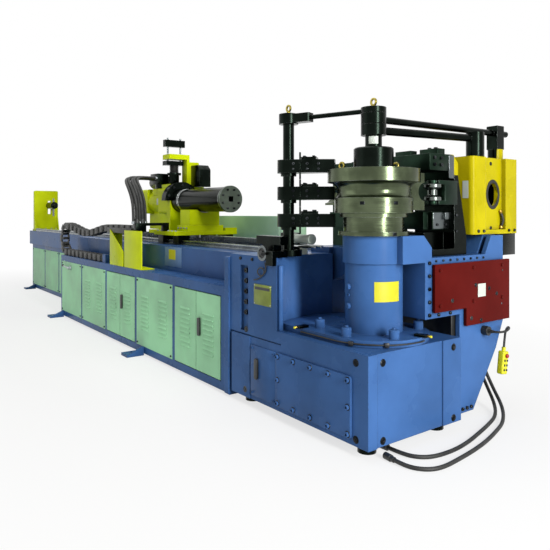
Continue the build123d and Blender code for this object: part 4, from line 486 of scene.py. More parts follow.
class Stock:
    """A mesh that is worked in millimetres and released as one object."""

    def __init__(self) -> None:
        """Starts with an empty mesh."""
        self.mesh = bmesh.new()

    def block(self, low: Point, high: Point, edge: float = 2.0, facets: int = 2) -> "Stock":
        """Adds a block with rounded edges.

        Args:
            low: its lowest corner.
            high: its highest corner.
            edge: the radius on its edges.
            facets: facets across each rounded edge.

        Returns:
            This stock, for the next cut.
        """
        verts = bmesh.ops.create_cube(self.mesh, size=1.0)["verts"]
        for vert in verts:
            vert.co = [a + (c + 0.5) * (b - a) for a, b, c in zip(low, high, vert.co)]
        edges = list(dict.fromkeys(e for v in verts for e in v.link_edges))
        bmesh.ops.bevel(self.mesh, geom=edges, offset=edge, segments=facets, profile=0.5, affect="EDGES")
        return self

    def cover(self, rows: Sequence[Sequence[Vector]], ends: Ends) -> "Stock":
        """Covers rings of points with faces, row to row.

        Args:
            rows: the rings, all of one length, or of a single point at a tip.
            ends: what becomes of the first and the last ring.

        Returns:
            This stock, for the next cut.
        """
        rings = [[self.mesh.verts.new(point) for point in row] for row in rows]
        count = max(len(ring) for ring in rings)
        following = rings[1:] + rings[:1] if ends is Ends.JOINED else rings[1:]
        for near, far in zip(rings, following):
            for k in range(count):
                n = k + 1
                loop = (near[k % len(near)], near[n % len(near)], far[n % len(far)], far[k % len(far)])
                corners = list(dict.fromkeys(loop))
                if len(corners) > 2:
                    self.mesh.faces.new(corners)
        if ends is Ends.CAPPED:
            self.mesh.faces.new(rings[0][::-1])
            self.mesh.faces.new(rings[-1])
        return self

    def turned(
        self, profile: Profile, base: Point, towards: Point, sides: int = 28, ends: Ends = Ends.OPEN
    ) -> "Stock":
        """Adds a turned form.

        Args:
            profile: pairs of radius and height, from the foot to the top.
            base: where height zero lies on the axis.
            towards: the direction of the axis.
            sides: facets round the axis.
            ends: what becomes of the profile's ends.

        Returns:
            This stock, for the next cut.
        """
        spin = Vector(towards).to_track_quat("Z", "X").to_matrix()
        rows = []
        for radius, height in profile:
            turns = steps(0, 360 / sides, 1 if radius < 1e-6 else sides)
            rows.append([Vector(base) + spin @ around(turn, radius, height) for turn in turns])
        return self.cover(rows, ends)

    def heads(self, kind: Fixing, towards: Point, size: float, spots: Iterable[Point]) -> "Stock":
        """Adds screw heads of one size.

        Args:
            kind: the kind of screw.
            towards: the direction out of the face that they hold.
            size: the size of each head.
            spots: where they are on that face.

        Returns:
            This stock, for the next cut.
        """
        tall = size if kind.grows_taller else 1.0
        for spot, (sides, form) in product(spots, kind.forms):
            self.turned([(size * radius, tall * height) for radius, height in form], spot, towards, sides)
        return self

    def screw_rows(self, towards: Point, rows: Iterable[tuple]) -> "Stock":
        """Adds cap screws in rows and columns.

        Args:
            towards: the direction out of the face that they hold.
            rows: for each group the radius of its heads, then their places along each of the three axes.

        Returns:
            This stock, for the next cut.
        """
        for radius, *places in rows:
            self.heads(CAP, towards, radius, product(*places))
        return self

    def curved_plate(self, radius: float, thick: float, turns: Pair, heights: Pair) -> "Stock":
        """Adds a plate bent round the bend axis.

        Args:
            radius: its inner radius.
            thick: its thickness.
            turns: where it starts and ends round the axis, in degrees.
            heights: its lower and upper edge.

        Returns:
            This stock, for the next cut.
        """
        facets = 16
        (low, high), (first, last) = heights, turns
        section = ((radius, low), (radius + thick, low), (radius + thick, high), (radius, high))
        places = steps(first, (last - first) / facets, facets + 1)
        return self.cover([[around(turn, *corner) for corner in section] for turn in places], Ends.CAPPED)

    def tube(self, line: Sequence[Vector], radii: float | Sequence[float], sides: int = 14) -> "Stock":
        """Adds a closed tube along a line.

        Args:
            line: the points of its centre.
            radii: its radius, or its radius at each point.
            sides: facets round the tube.

        Returns:
            This stock, for the next cut.
        """
        sizes = radii if isinstance(radii, Sequence) else [radii] * len(line)
        rows = []
        side = None
        for i, point in enumerate(line):
            ahead = (line[min(i + 1, len(line) - 1)] - line[max(i - 1, 0)]).normalized()
            if side is None:
                side = ahead.orthogonal().normalized()
            side = (side - ahead * side.dot(ahead)).normalized()
            spots = [around(turn, sizes[i], 0) for turn in steps(0, 360 / sides, sides)]
            rows.append([point + side * spot.x + ahead.cross(side) * spot.y for spot in spots])
        return self.cover(rows, Ends.CAPPED)

    def join(self, other: "Stock", place: Matrix) -> "Stock":
        """Adds another stock at a place, and uses that one up.

        Args:
            other: the stock to add.
            place: where it goes.

        Returns:
            This stock, for the next cut.
        """
        other.mesh.transform(place)
        spare = bpy.data.meshes.new("spare")
        other.mesh.to_mesh(spare)
        other.mesh.free()
        self.mesh.from_mesh(spare)
        bpy.data.meshes.remove(spare)
        return self

    def release(
        self, name: str, finish: Finish, body: str | None = None, replaces: str | None = None
    ) -> bpy.types.Object:
        """Turns the stock into an object in metres and gives it a finish and a body.

        Args:
            name: the object's name.
            finish: its surface.
            body: the body that it rides on, or none.
            replaces: a CAD node that it stands for.

        Returns:
            The new object.
        """
        bmesh.ops.recalc_face_normals(self.mesh, faces=self.mesh.faces[:])
        self.mesh.transform(Matrix.Scale(MM, 4))
        data = bpy.data.meshes.new(name)
        self.mesh.to_mesh(data)
        self.mesh.free()
        data.shade_smooth()
        data.set_sharp_from_angle(angle=math.radians(34))
        data.materials.append(finish.material())
        piece = bpy.data.objects.new(name, data)
        bpy.context.scene.collection.objects.link(piece)
        if body:
            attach(piece, body)
        if replaces:
            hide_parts(replaces)
        log.info("%s: %s", name.replace("_", " "), finish.name)
        return piece


def paint(finish: Finish, *nodes: str) -> None:
    """Gives CAD nodes a finish, and leaves their shape as it is.

    Args:
        finish: the surface.
        nodes: the nodes' names.
    """
    for node in nodes:
        piece = frame["nodes"][node]
        piece.data.materials.clear()
        piece.data.materials.append(finish.material())
        log.info("%s: %s", node.replace("_", " "), finish.name)


def part_out(node: str, body: str, choose: Callable[[Vector, Vector], Finish], edge_mm: float = 0.0) -> None:
    """Splits a CAD node into its separate solids, each with a finish of its own.

    Args:
        node: the CAD node's name.
        body: the body that it belongs to.
        choose: gives the finish for a solid from its lowest and highest corners in millimetres.
        edge_mm: the radius to put on sharp edges, or none.
    """
    whole = bmesh.new()
    whole.from_mesh(frame["nodes"][node].data)
    bmesh.ops.remove_doubles(whole, verts=whole.verts[:], dist=1e-5)
    # The walk keeps to the mesh's own order, so that every run numbers the solids in the same way.
    met = set()
    number = 0
    for start in whole.verts:
        if start in met:
            continue
        met.add(start)
        reached = [start]
        for vert in reached:
            for edge in vert.link_edges:
                other = edge.other_vert(vert)
                if other not in met:
                    met.add(other)
                    reached.append(other)
        low, high = (Vector([pick(v.co[i] for v in reached) for i in range(3)]) / MM for pick in (min, max))
        stock = Stock()
        copies = {v: stock.mesh.verts.new(v.co / MM) for v in reached}
        for face in dict.fromkeys(f for v in reached for f in v.link_faces):
            stock.mesh.faces.new([copies[v] for v in face.verts])
        if edge_mm:
            flat, sharp = math.radians(1), math.radians(40)
            mesh = stock.mesh
            bmesh.ops.dissolve_limit(mesh, angle_limit=flat, verts=mesh.verts[:], edges=mesh.edges[:])
            edges = [e for e in mesh.edges if e.calc_face_angle(0.0) > sharp]
            bmesh.ops.bevel(
                mesh, geom=edges, offset=edge_mm, segments=2, profile=0.5, affect="EDGES", clamp_overlap=True
            )
        number += 1
        stock.release(f"{node}_{number}", choose(low, high), body, node)
    whole.free()


def handles_and(finish: Finish) -> Callable[[Vector, Vector], Finish]:
    """Returns a choice: black plastic for narrow solids, the handles, and a finish for the rest."""
    return lambda low, high: ABS if high.x - low.x < HANDLE_WIDE else finish


def two_tone(node: str, body: str, main: Finish, other: Finish, is_other: Callable[[Vector], bool]) -> None:
    """Finishes a CAD node in two finishes, face by face.

    Args:
        node: the CAD node's name.
        body: the body that it belongs to.
        main: the finish of most faces.
        other: the second finish.
        is_other: tells from a face's middle, in millimetres, that it has the second finish.
    """
    data = frame["nodes"][node].data.copy()
    data.materials.clear()
    data.materials.append(main.material())
    data.materials.append(other.material())
    for face in data.polygons:
        face.material_index = int(is_other(face.center / MM))
    piece = bpy.data.objects.new(node + "_finished", data)
    bpy.context.scene.collection.objects.link(piece)
    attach(piece, body)
    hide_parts(node)
    log.info("%s: %s and %s", node.replace("_", " "), main.name, other.name)


def length_of(line: Sequence[Vector]) -> float:
    """Returns the length of a line, in its own unit."""
    return sum((b - a).length for a, b in zip(line, line[1:]))


def evenly(line: Sequence[Vector], step: float) -> list[Vector]:
    """Walks a line in equal steps.

    Args:
        line: the points of the line.
        step: the wanted distance between points.

    Returns:
        Points that lie one step apart, both ends included.
    """
    total = length_of(line)
    count = max(2, round(total / step))
    points = []
    gone = 0.0
    i = 0
    for mark in [total * k / count for k in range(count + 1)]:
        while i < len(line) - 2 and gone + (line[i + 1] - line[i]).length < mark:
            gone += (line[i + 1] - line[i]).length
            i += 1
        run = (line[i + 1] - line[i]).length
        points.append(line[i].lerp(line[i + 1], min(1.0, (mark - gone) / run) if run else 0.0))
    return points


def smooth(route: Sequence[Point], step: float) -> list[Vector]:
    """Walks a smooth line through a route in equal steps.

    Args:
        route: the control points in millimetres.
        step: the wanted distance between points.

    Returns:
        Points along the line, in millimetres.
    """
    curve = bpy.data.curves.new("route", "CURVE")
    curve.dimensions = "3D"
    spline = curve.splines.new("NURBS")
    spline.points.add(len(route) - 1)
    for slot, point in zip(spline.points, route):
        slot.co = (*[c * MM for c in point], 1.0)
    spline.order_u = 3
    spline.use_endpoint_u = True
    spline.resolution_u = 14
    holder = bpy.data.objects.new("route", curve)
    bpy.context.scene.collection.objects.link(holder)
    bpy.context.view_layer.update()
    flat = bpy.data.meshes.new_from_object(holder.evaluated_get(bpy.context.evaluated_depsgraph_get()))
    line = [v.co / MM for v in flat.vertices]
    bpy.data.objects.remove(holder)
    bpy.data.meshes.remove(flat)
    return evenly(line, step)


@dataclass
class Studio:
    """The camera, the floor and the soft lamps, with sizes in metres."""

    eye: tuple[float, float, float] = (1.969, -2.061, 1.045)
    look: tuple[float, float, float] = (-0.803, 0.596, 0.0)
    lens: float = 37.64
    sensor: float = 36.0
    shift: float = -0.1127
    sight: float = 60.0
    floor_half: float = 24.0
    floor_middle: float = -3.0
    shadow_middle: float = -2.6
    shadow_reach: Pair = (1.2, 4.0)
    shadow_form: Point = (0.5, 1.0, 0.0)
    near_glow: float = 0.66
    floor_glow: float = 1.05
    sky_light: float = 0.20

    # Each lamp's name, place, aim, width and height, and power.
    lamps: Sequence[tuple] = (
        ("key lamp", (6.2, -0.8, 2.6), (-0.6, 0.2, 0.8), (0.9, 3.4), 520.0),
        ("fill lamp", (-4.2, -5.4, 3.2), (-3.0, 0.0, 0.4), (4.5, 4.5), 50.0),
        ("top lamp", (-2.0, 0.2, 5.2), (-2.0, 0.2, 0.6), (4.0, 4.0), 90.0),
    )

    def place(self, name: str, data: bpy.types.ID, at: Point, look: Vector) -> bpy.types.Object:
        """Puts a camera or a lamp at a point, turned to look in a direction.

        Args:
            name: the object's name.
            data: the camera or the lamp.
            at: where it stands.
            look: the direction that it looks in.

        Returns:
            The new object.
        """
        holder = bpy.data.objects.new(name, data)
        holder.location = at
        holder.rotation_euler = look.to_track_quat("-Z", "Y").to_euler()
        bpy.context.scene.collection.objects.link(holder)
        return holder

    def set_camera(self) -> None:
        """Puts the camera where the picture was taken from."""
        camera = bpy.data.cameras.new("camera")
        camera.lens = self.lens
        camera.sensor_width = self.sensor
        camera.shift_y = self.shift
        camera.clip_end = self.sight
        bpy.context.scene.camera = self.place("camera", camera, self.eye, Vector(self.look))

    def seen_rays(self, tree: Tree) -> Socket:
        """Marks the rays by which the surroundings are seen, straight, mirrored or through glass.

        Args:
            tree: the node tree to add to.

        Returns:
            A socket that is one on those rays.
        """
        path = add(tree, "LightPath").node.outputs
        mirrored = add(tree, "Math", LARGER, value=path["Is Camera Ray"], value_001=path["Is Glossy Ray"])
        return add(tree, "Math", LARGER, value=mirrored, value_001=path["Is Transmission Ray"])

    def lay_floor(self) -> None:
        """Lays a pale floor that is white to the camera and still takes the shadow."""
        half, middle = self.floor_half, self.floor_middle
        corners = [(middle + x * half, y * half, 0) for x, y in ((-1, -1), (1, -1), (1, 1), (-1, 1))]
        data = bpy.data.meshes.new("floor")
        data.from_pydata(corners, [], [(0, 1, 2, 3)])
        floor = bpy.data.objects.new("floor", data)
        bpy.context.scene.collection.objects.link(floor)
        material = bpy.data.materials.new("white painted studio floor")
        material.use_nodes = True
        tree = material.node_tree
        tree.nodes.clear()
        seen = self.seen_rays(tree)
        # Away from the machine there is no shadow to keep, so the floor runs out to the backdrop's white.
        place = add(tree, "TexCoord", out="Object")
        offset = add(tree, "VectorMath", MINUS, vector=place, vector_001=(self.shadow_middle, 0, 0))
        shaped = add(tree, "VectorMath", TIMES, vector=offset, vector_001=self.shadow_form)
        away = add(tree, "VectorMath", LENGTH, vector=shaped)
        near, far = self.shadow_reach
        fade = add(tree, "MapRange", value=away, from_min=near, from_max=far, to_min=self.near_glow)
        share = add(tree, "Math", TIMES, value=seen, value_001=fade)
        matt = add(tree, "BsdfDiffuse", color=linear("#F2F2F0"))
        glow = add(tree, "Emission", color=(1, 1, 1, 1), strength=self.floor_glow)
        add(tree, "OutputMaterial", surface=add(tree, "MixShader", fac=share, shader=matt, shader_001=glow))
        data.materials.append(material)

    def hang_lamps(self) -> None:
        """Hangs a tall narrow key lamp ahead of the machine, a fill on the door side and a top lamp."""
        for name, at, aim, (wide, high), power in self.lamps:
            lamp = bpy.data.lights.new(name, "AREA")
            lamp.shape = "RECTANGLE"
            lamp.size = wide
            lamp.size_y = high
            lamp.energy = power
            self.place(name, lamp, at, Vector(aim) - Vector(at))

    def light_world(self) -> None:
        """Makes the surroundings white to the eye and dimmer as a light."""
        world = bpy.data.worlds.new("studio")
        bpy.context.scene.world = world
        world.use_nodes = True
        tree = world.node_tree
        tree.nodes.clear()
        level = add(tree, "MapRange", value=self.seen_rays(tree), to_min=self.sky_light)
        add(tree, "OutputWorld", surface=add(tree, "Background", color=(1, 1, 1, 1), strength=level))

    def prepare(self) -> None:
        """Sets the camera, floor, lamps and surroundings."""
        bpy.context.scene.view_settings.view_transform = "Standard"
        self.set_camera()
        self.lay_floor()
        self.hang_lamps()
        self.light_world()


@dataclass
class Cables:
    """The free cables: two on the floor, the pendant's lead and the carriage's conduits."""

    floor_radius: float = 9.0
    lead_radius: float = 6.0
    conduit_radius: float = 17.0
    conduit_offset: float = 22.0
    rib_pitch: float = 9.0
    rib_valley: float = 0.86
    hose_radius: float = 11.0

    floor_a: Route = (
        (70, 720, 532), (70, 720, 430), (84, 728, 318), (118, 736, 205), (188, 718, 106), (284, 656, 42),
        (358, 544, 11.4), (406, 402, 9.4), (446, 262, 9.4), (472, 128, 9.4), (488, -4, 9.4), (497, -110, 9.4),
        (480, -176, 9.4), (435, -222, 11.4), (384, -238, 15.4), (341, -233.5, 15.4),
    )
    floor_b: Route = (
        (20, 740, 532), (20, 740, 428), (34, 758, 312), (66, 764, 196), (132, 748, 96), (216, 690, 34),
        (286, 590, 11.4), (330, 460, 9.4), (366, 330, 9.4), (402, 190, 9.4), (420, 60, 9.4), (410, -70, 9.4),
        (364, -136, 11.4), (300, -158, 15.4), (236, -158, 15.4),
    )
    lead: Route = (
        (219, 633, 427), (268, 633, 427), (292, 672, 432), (280, 725, 440), (245, 770, 438), (216, 795, 415),
        (205, 801.6, 374.3), (205, 793.8, 318.8),
    )
    conduit_shares: Route = (
        (0, 0, 0), (0, 0, 0.27), (0.075, 0.005, 0.508), (0.217, 0.02, 0.696), (0.405, 0.066, 0.831),
        (0.603, 0.164, 0.919), (0.782, 0.337, 0.973), (0.932, 0.57, 0.995), (1, 0.809, 1), (1, 1, 1),
    )
    conduit_start: Point = (-2207.63, -258.0, 968.04)
    conduit_stop: Point = (-2731.0, 100.0, 1349.0)
    floor_sleeve: Profile = (
        (13, 0), (15, -2), (15, -8), (12, -14), (11.4, -22), (11.0, -34), (9.6, -44), (9.0, -46),
    )
    lead_sleeve: Profile = ((11, -2), (11, 4), (9.5, 7), (9, 16), (7.4, 24), (6.0, 27))
    collar: Profile = ((1.3, -3), (1.3, 16), (1.12, 20), (1.12, 34), (0.9, 36))
    nut: Profile = ((11, -8), (15, -7), (15, 12), (11, 14))
    # How far each hose is shifted from the middle, and its share of the way along the bed.
    hose_runs: Pairs = ((-52, 0.90), (0, 0.93), (46, 0.97))

    def floor_cable(self, node: str, route: Sequence[Point]) -> None:
        """Makes a floor cable from the arm down onto the floor, with a sleeve that rides on the arm.

        Args:
            node: the CAD node that it replaces.
            route: its control points.
        """
        line = smooth(route, 9.0)
        cable = Stock().tube(line, self.floor_radius).release(node + "_tube", RUBBER, None, node)
        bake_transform(cable)
        Stock().turned(self.floor_sleeve, route[0], UP).release(node + "_sleeve", NYLON, "arm")

    def pendant_lead(self) -> None:
        """Makes the lead that hangs from its socket to the pendant."""
        line = smooth(self.lead, 6.0)
        cord = Stock().tube(line, self.lead_radius).release("pendant_cord", RUBBER, "arm", "pendant_lead")
        Stock().turned(self.lead_sleeve, line[0], line[3] - line[0]).release("lead_sleeve", NYLON, "arm")

    def run_up(self, start: Vector, stop: Vector, step: float) -> list[Vector]:
        """Runs a smooth line from the chain's end up to the drives.

        Args:
            start: its first point.
            stop: its last point.
            step: the distance between its points.

        Returns:
            The points of the line.
        """
        return smooth([start + (stop - start) * Vector(share) for share in self.conduit_shares], step)

    def conduit(self, node: str, side: float) -> None:
        """Makes one ribbed conduit from the chain's end up to the drives.

        Args:
            node: the CAD node that it replaces.
            side: minus one or one, for which side of the pair it is.
        """
        shift = side * self.conduit_offset
        start = Vector(self.conduit_start) + Vector((0, shift, 0))
        line = self.run_up(start, Vector(self.conduit_stop) + Vector((shift, 0, 0)), self.rib_pitch / 2)
        crest = self.conduit_radius
        radii = [crest if i % 2 else crest * self.rib_valley for i in range(len(line))]
        hose = Stock().tube(line, radii, 18).release(node + "_hose", NYLON, "carriage", node)
        collar = [(crest * share, height) for share, height in self.collar]
        glands = Stock().turned(collar, line[0], UP, 12).turned(collar, line[-1], line[-4] - line[-1], 12)
        glands.release(node + "_glands", ABS, "carriage")

    def hoses(self) -> None:
        """Adds the smaller hoses that are tied to the conduits."""
        hoses, nuts = Stock(), Stock()
        for shift, share in self.hose_runs:
            start = Vector(self.conduit_start) + Vector((0, shift, 0))
            stop = Vector(self.conduit_stop) + Vector((shift, 0, 0))
            stop.x = start.x + (stop.x - start.x) * share
            line = self.run_up(start, stop, 12.0)
            hoses.tube(line, self.hose_radius, 12)
            for end, inner in ((0, 1), (-1, -2)):
                nuts.turned(self.nut, line[end], line[inner] - line[end], 6)
        hoses.release("carriage_hoses", RUBBER, "carriage")
        nuts.release("carriage_hose_nuts", ZINC, "carriage")

    def dress(self) -> None:
        """Makes every free cable."""
        self.hoses()
        self.floor_cable("floor_cable_a", self.floor_a)
        self.floor_cable("floor_cable_b", self.floor_b)
        self.pendant_lead()
        self.conduit("conduit_a", -1)
        self.conduit("conduit_b", 1)
        paint(ABS, "cable_plug")


@dataclass
class Chain:
    """The cable chain: a run on the ledge, a loop and a run that the carriage pulls."""

    link: float = 60.0
    high: float = 60.0
    plate: float = 7.0
    lap: float = 3.0
    outer_inset: float = 0.6
    inner_inset: float = 7.4
    boss: float = 9.0
    boss_proud: float = 1.4
    bar_half: float = 12.0
    bar_high: float = 6.0
    bar_gap: float = 0.6
    anchor: float = -2900.0
    loop: float = -3980.0
    sag_from: float = -4000.0
    sag_to: float = -2770.0
    end: float = -2225.0
    sag: float = 62.0
    floor: float = 650.4
    loop_links: int = 7

    def lower_pins(self) -> list[Pair]:
        """Returns the pins of the run on the ledge, from the anchor."""
        count = round((self.anchor - self.loop) / self.link)
        return [(x, self.floor) for x in steps(self.anchor, -self.link, count + 1)]

    def loop_radius(self) -> float:
        """Returns the radius at which whole links make the half turn."""
        return self.link / 2 / math.sin(math.pi / self.loop_links / 2)

    def loop_pins(self) -> list[Pair]:
        """Lays out the pins of the half turn.

        Returns:
            Places along the bed and upwards, from below.
        """
        radius = self.loop_radius()
        turns = steps(0, math.pi / self.loop_links, self.loop_links + 1)
        return [(self.loop - radius * math.sin(t), self.floor + radius - radius * math.cos(t)) for t in turns]

    def upper_pins(self) -> list[Pair]:
        """Lays out the pins of the pulled run, which sags a little.

        Returns:
            Places along the bed and upwards, from the loop.
        """
        top = self.floor + 2 * self.loop_radius()
        x, z = self.loop, top
        pins = [(x, z)]
        while x + self.link < self.end:
            share = (x + self.link - self.sag_from) / (self.sag_to - self.sag_from)
            hang = self.sag * math.sin(math.pi * share) ** 2 if 0 < share < 1 else 0.0
            rise = top - hang - z
            x += math.sqrt(self.link**2 - rise**2)
            z += rise
            pins.append((x, z))
        return pins

    def run(self, name: str, pins: Sequence[Pair], low: float, high: float) -> bpy.types.Object:
        """Builds the links between pins.

        Args:
            name: the run's name.
            pins: places of its pins along the bed and upwards.
            low: the chain's near side.
            high: the chain's far side.

        Returns:
            The run as one object without a body.
        """
        stock = Stock()
        half, tall = self.link / 2 + self.lap, self.high / 2
        boss, proud, bar, thick = self.boss, self.boss_proud, self.bar_half, self.bar_high
        for i, (a, b) in enumerate(zip(pins, pins[1:])):
            # Every second link fits between the plates of its neighbours.
            inset = self.outer_inset if i % 2 else self.inner_inset
            made = Stock()
            for near in (low + inset, high - inset - self.plate):
                far = near + self.plate
                made.block((-half, near, 1 - tall), (half, far, tall - 1), 3.0)
                made.block((-boss, near - proud, -boss), (boss, far + proud, boss), 3.0)
            for level in (self.bar_gap - tall, tall - self.bar_gap - thick):
                made.block((-bar, low + inset + 2, level), (bar, high - inset - 2, level + thick), 1.5)
            middle = Vector(((a[0] + b[0]) / 2, 0, (a[1] + b[1]) / 2))
            stock.join(made, turned_place(middle, -math.degrees(math.atan2(b[1] - a[1], b[0] - a[0])), "Y"))
        return stock.release(name, NYLON, None, "cable_chain")

    def dress(self) -> None:
        """Builds the three runs."""
        low, high = (corner.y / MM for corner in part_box("cable_chain"))
        lower = self.run("chain_on_ledge", self.lower_pins(), low, high)
        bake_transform(lower)
        bend = self.run("chain_loop", self.loop_pins(), low, high)
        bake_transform(bend)
        pins = self.upper_pins()
        upper = self.run("chain_pulled", pins, low, high)
        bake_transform(upper)


@dataclass
class Head:
    """The bending head's base, pivot plate, housing and what is bolted to them."""

    cover_low: Pair = (-364.0, 70.0)
    cover_high: Pair = (177.0, 340.0)
    cover_face: float = -327.5
    cover_inset: float = 18.0
    panel_face: float = -322.5
    boss_top: float = 519.0
    rim: float = 265.0
    cable_gap: float = 4.0
    cable_level: float = 460.0
    column: float = 140.0
    lug_turn: float = -102.0
    side_face: float = -317.5
    slot_x: float = -662.0
    slot_floor: float = -299.5
    # Places that tell the small fittings from each other.
    gauges_before: float = -4000.0
    dials_before: float = -4058.0
    bottle_above: float = 800.0
    cable_clips_below: float = 60.0
    brackets_above: float = 700.0

    bosses: Pairs = ((-136, 262), (136, 262), (-80, 222), (-22, 222), (57, 222), (100, 222))
    front_bolts: Route = ((267, -222, 403), (267, -222, 69), (273, 259, 405), (273, 259, 68))
    side_bolts: Route = ((200, -317.5, 404), (200, -317.5, 75), (-645, -317.5, 412), (-645, -323.5, 85))
    shade_disc: Profile = ((0, 0), (15, 0), (15, 0.8), (14, 1.4), (0, 1.4))
    barrel: Profile = ((5.0, 0), (6.4, 0.6), (6.4, 11), (5.0, 12))
    tip: Profile = ((5.0, 12), (5.9, 12.6), (5.9, 18), (5.0, 19.5), (0, 19.5))
    lug: Profile = ((15, 0), (15, 12), (12, 16), (0, 16))
    rivet: Profile = ((3.4, 0), (3.0, 1.4), (0, 2.2))

    def cover_screws(self) -> None:
        """Puts painted-over screws on dark discs round the access cover, and screws in the side panel; the
        discs are painted shade of the screws' recesses.
        """
        (x0, z0), (x1, z1) = self.cover_low, self.cover_high
        inset = self.cover_inset
        across = steps(x0 + inset, (x1 - x0 - 2 * inset) / 4, 5)
        spots = [(x, z) for x in across for z in (z0 + inset, z1 - inset)]
        spots += [(x, (z0 + z1) / 2) for x in (across[0], across[-1])]
        # Painted shade: a dark disc under each cover screw stands for the shadow in its recess.
        shade_discs = Stock()
        for x, z in spots:
            shade_discs.turned(self.shade_disc, (x, self.cover_face, z), DOORS)
        shade_discs.release("cover_washers", SCREW, "frame")
        thick = self.shade_disc[-1][1]
        stock = Stock().heads(CAP, DOORS, 11.0, [(x, self.cover_face - thick, z) for x, z in spots])
        stock.heads(CAP, DOORS, 6.5, product((-580, -384), (self.panel_face,), (86, 324)))
        stock.heads(HEX, UP, 17.0, [around(turn, radius, self.boss_top) for turn, radius in self.bosses])
        stock.release("cover_screws", BLUE, "frame")

    def base_bolts(self) -> None:
        """Puts dark bolts in the counterbores of the base."""
        stock = Stock().heads(SUNK, AHEAD, 17.0, self.front_bolts).heads(SUNK, DOORS, 17.0, self.side_bolts)
        stock.release("base_bolts", SCREW, "frame")

    def sensors(self) -> None:
        """Lays the thin sensor cable along the side of the plate and tips the two sensors."""
        radius, level = self.rim + self.cable_gap, self.cable_level
        line = [Vector((x, -radius, level)) for x in steps(-232, 29, 8)]
        line += [around(turn, radius, level) for turn in steps(-90, 3, 35)]
        Stock().tube(line, 3.6, 8).release("sensor_cable", RUBBER, "frame")
        clips = Stock()
        for turn in (-68, -34):
            clip = Stock().block((-5, -11, -10), (8, 11, 10), 2.0)
            clips.join(clip, turned_place(around(turn, radius, level), turn))
        clips.release("sensor_clips", ABS, "frame")
        barrels, tips = Stock(), Stock()
        for foot, towards in (((-238.5, -287, 483), DOORS), (around(12, 287, 483), around(12, 1, 0))):
            barrels.turned(self.barrel, foot, towards, 16)
            tips.turned(self.tip, foot, towards, 16)
        barrels.release("sensor_barrels", BRASS, "frame")
        tips.release("sensor_tips", PENDANT, "frame")

    def column_fittings(self) -> None:
        """Fixes the bare label and the two lugs on the column."""
        label = Stock().curved_plate(self.column, 1.2, (-45, 10), (630, 724))
        label.release("column_label", FILM_YELLOW, "frame")
        lugs = Stock()
        out = around(self.lug_turn, 1, 0)
        for height in (601, 693):
            lugs.turned(self.lug, around(self.lug_turn, self.column - 3, height), out)
        lugs.heads(CAP, out, 8.0, [around(self.lug_turn, self.column - 1, 653)])
        lugs.release("column_lugs", BLUE, "frame")

    def housing_fittings(self) -> None:
        """Puts screws in the housing's slot and along its top, and fixes the blank plate."""
        face = self.side_face
        slot = (14.0, (self.slot_x,), (self.slot_floor,), steps(501, 57.5, 5))
        screws = Stock().screw_rows(DOORS, (slot, (9.0, (-697, -583), (face,), (796,))))
        screws.release("housing_screws", SCREW, "frame")
        plate = Stock().block((-567, face - 3, 560), (-412, face, 669), 1.2)
        plate.release("housing_plate", OLIVE, "frame")
        band = Stock().block((-556, face - 4, 640), (-423, face - 2, 655), 0.6, 1)
        band.release("housing_plate_band", ABS, "frame")
        rivets = Stock()
        for spot in product((-560, -419), (face - 3,), (567, 662)):
            rivets.turned(self.rivet, spot, DOORS, 12)
        rivets.release("housing_rivets", ZINC, "frame")

    def small_fittings(self, low: Vector, high: Vector) -> Finish:
        """Chooses the finish of a small fitting from where it is.

        Args:
            low: its lowest corner.
            high: its highest corner.

        Returns:
            The finish.
        """
        if high.x < self.gauges_before:
            return DIAL if high.x < self.dials_before else GREY
        if low.z > self.bottle_above:
            return BOTTLE
        if high.z < self.cable_clips_below:
            return NYLON
        return BLUE if high.z > self.brackets_above else BLACK

    def dress(self) -> None:
        """Paints the head and adds its fittings."""
        paint(BLUE, "head_base", "head_housing", "end_flange", "press_bracket", "pivot_plate")
        paint(BLACK, "levelling_pads")
        part_out("base_covers", "frame", handles_and(BLUE), 1.5)
        part_out("small_fittings", "frame", self.small_fittings, 1.0)
        self.cover_screws()
        self.base_bolts()
        self.sensors()
        self.column_fittings()
        self.housing_fittings()


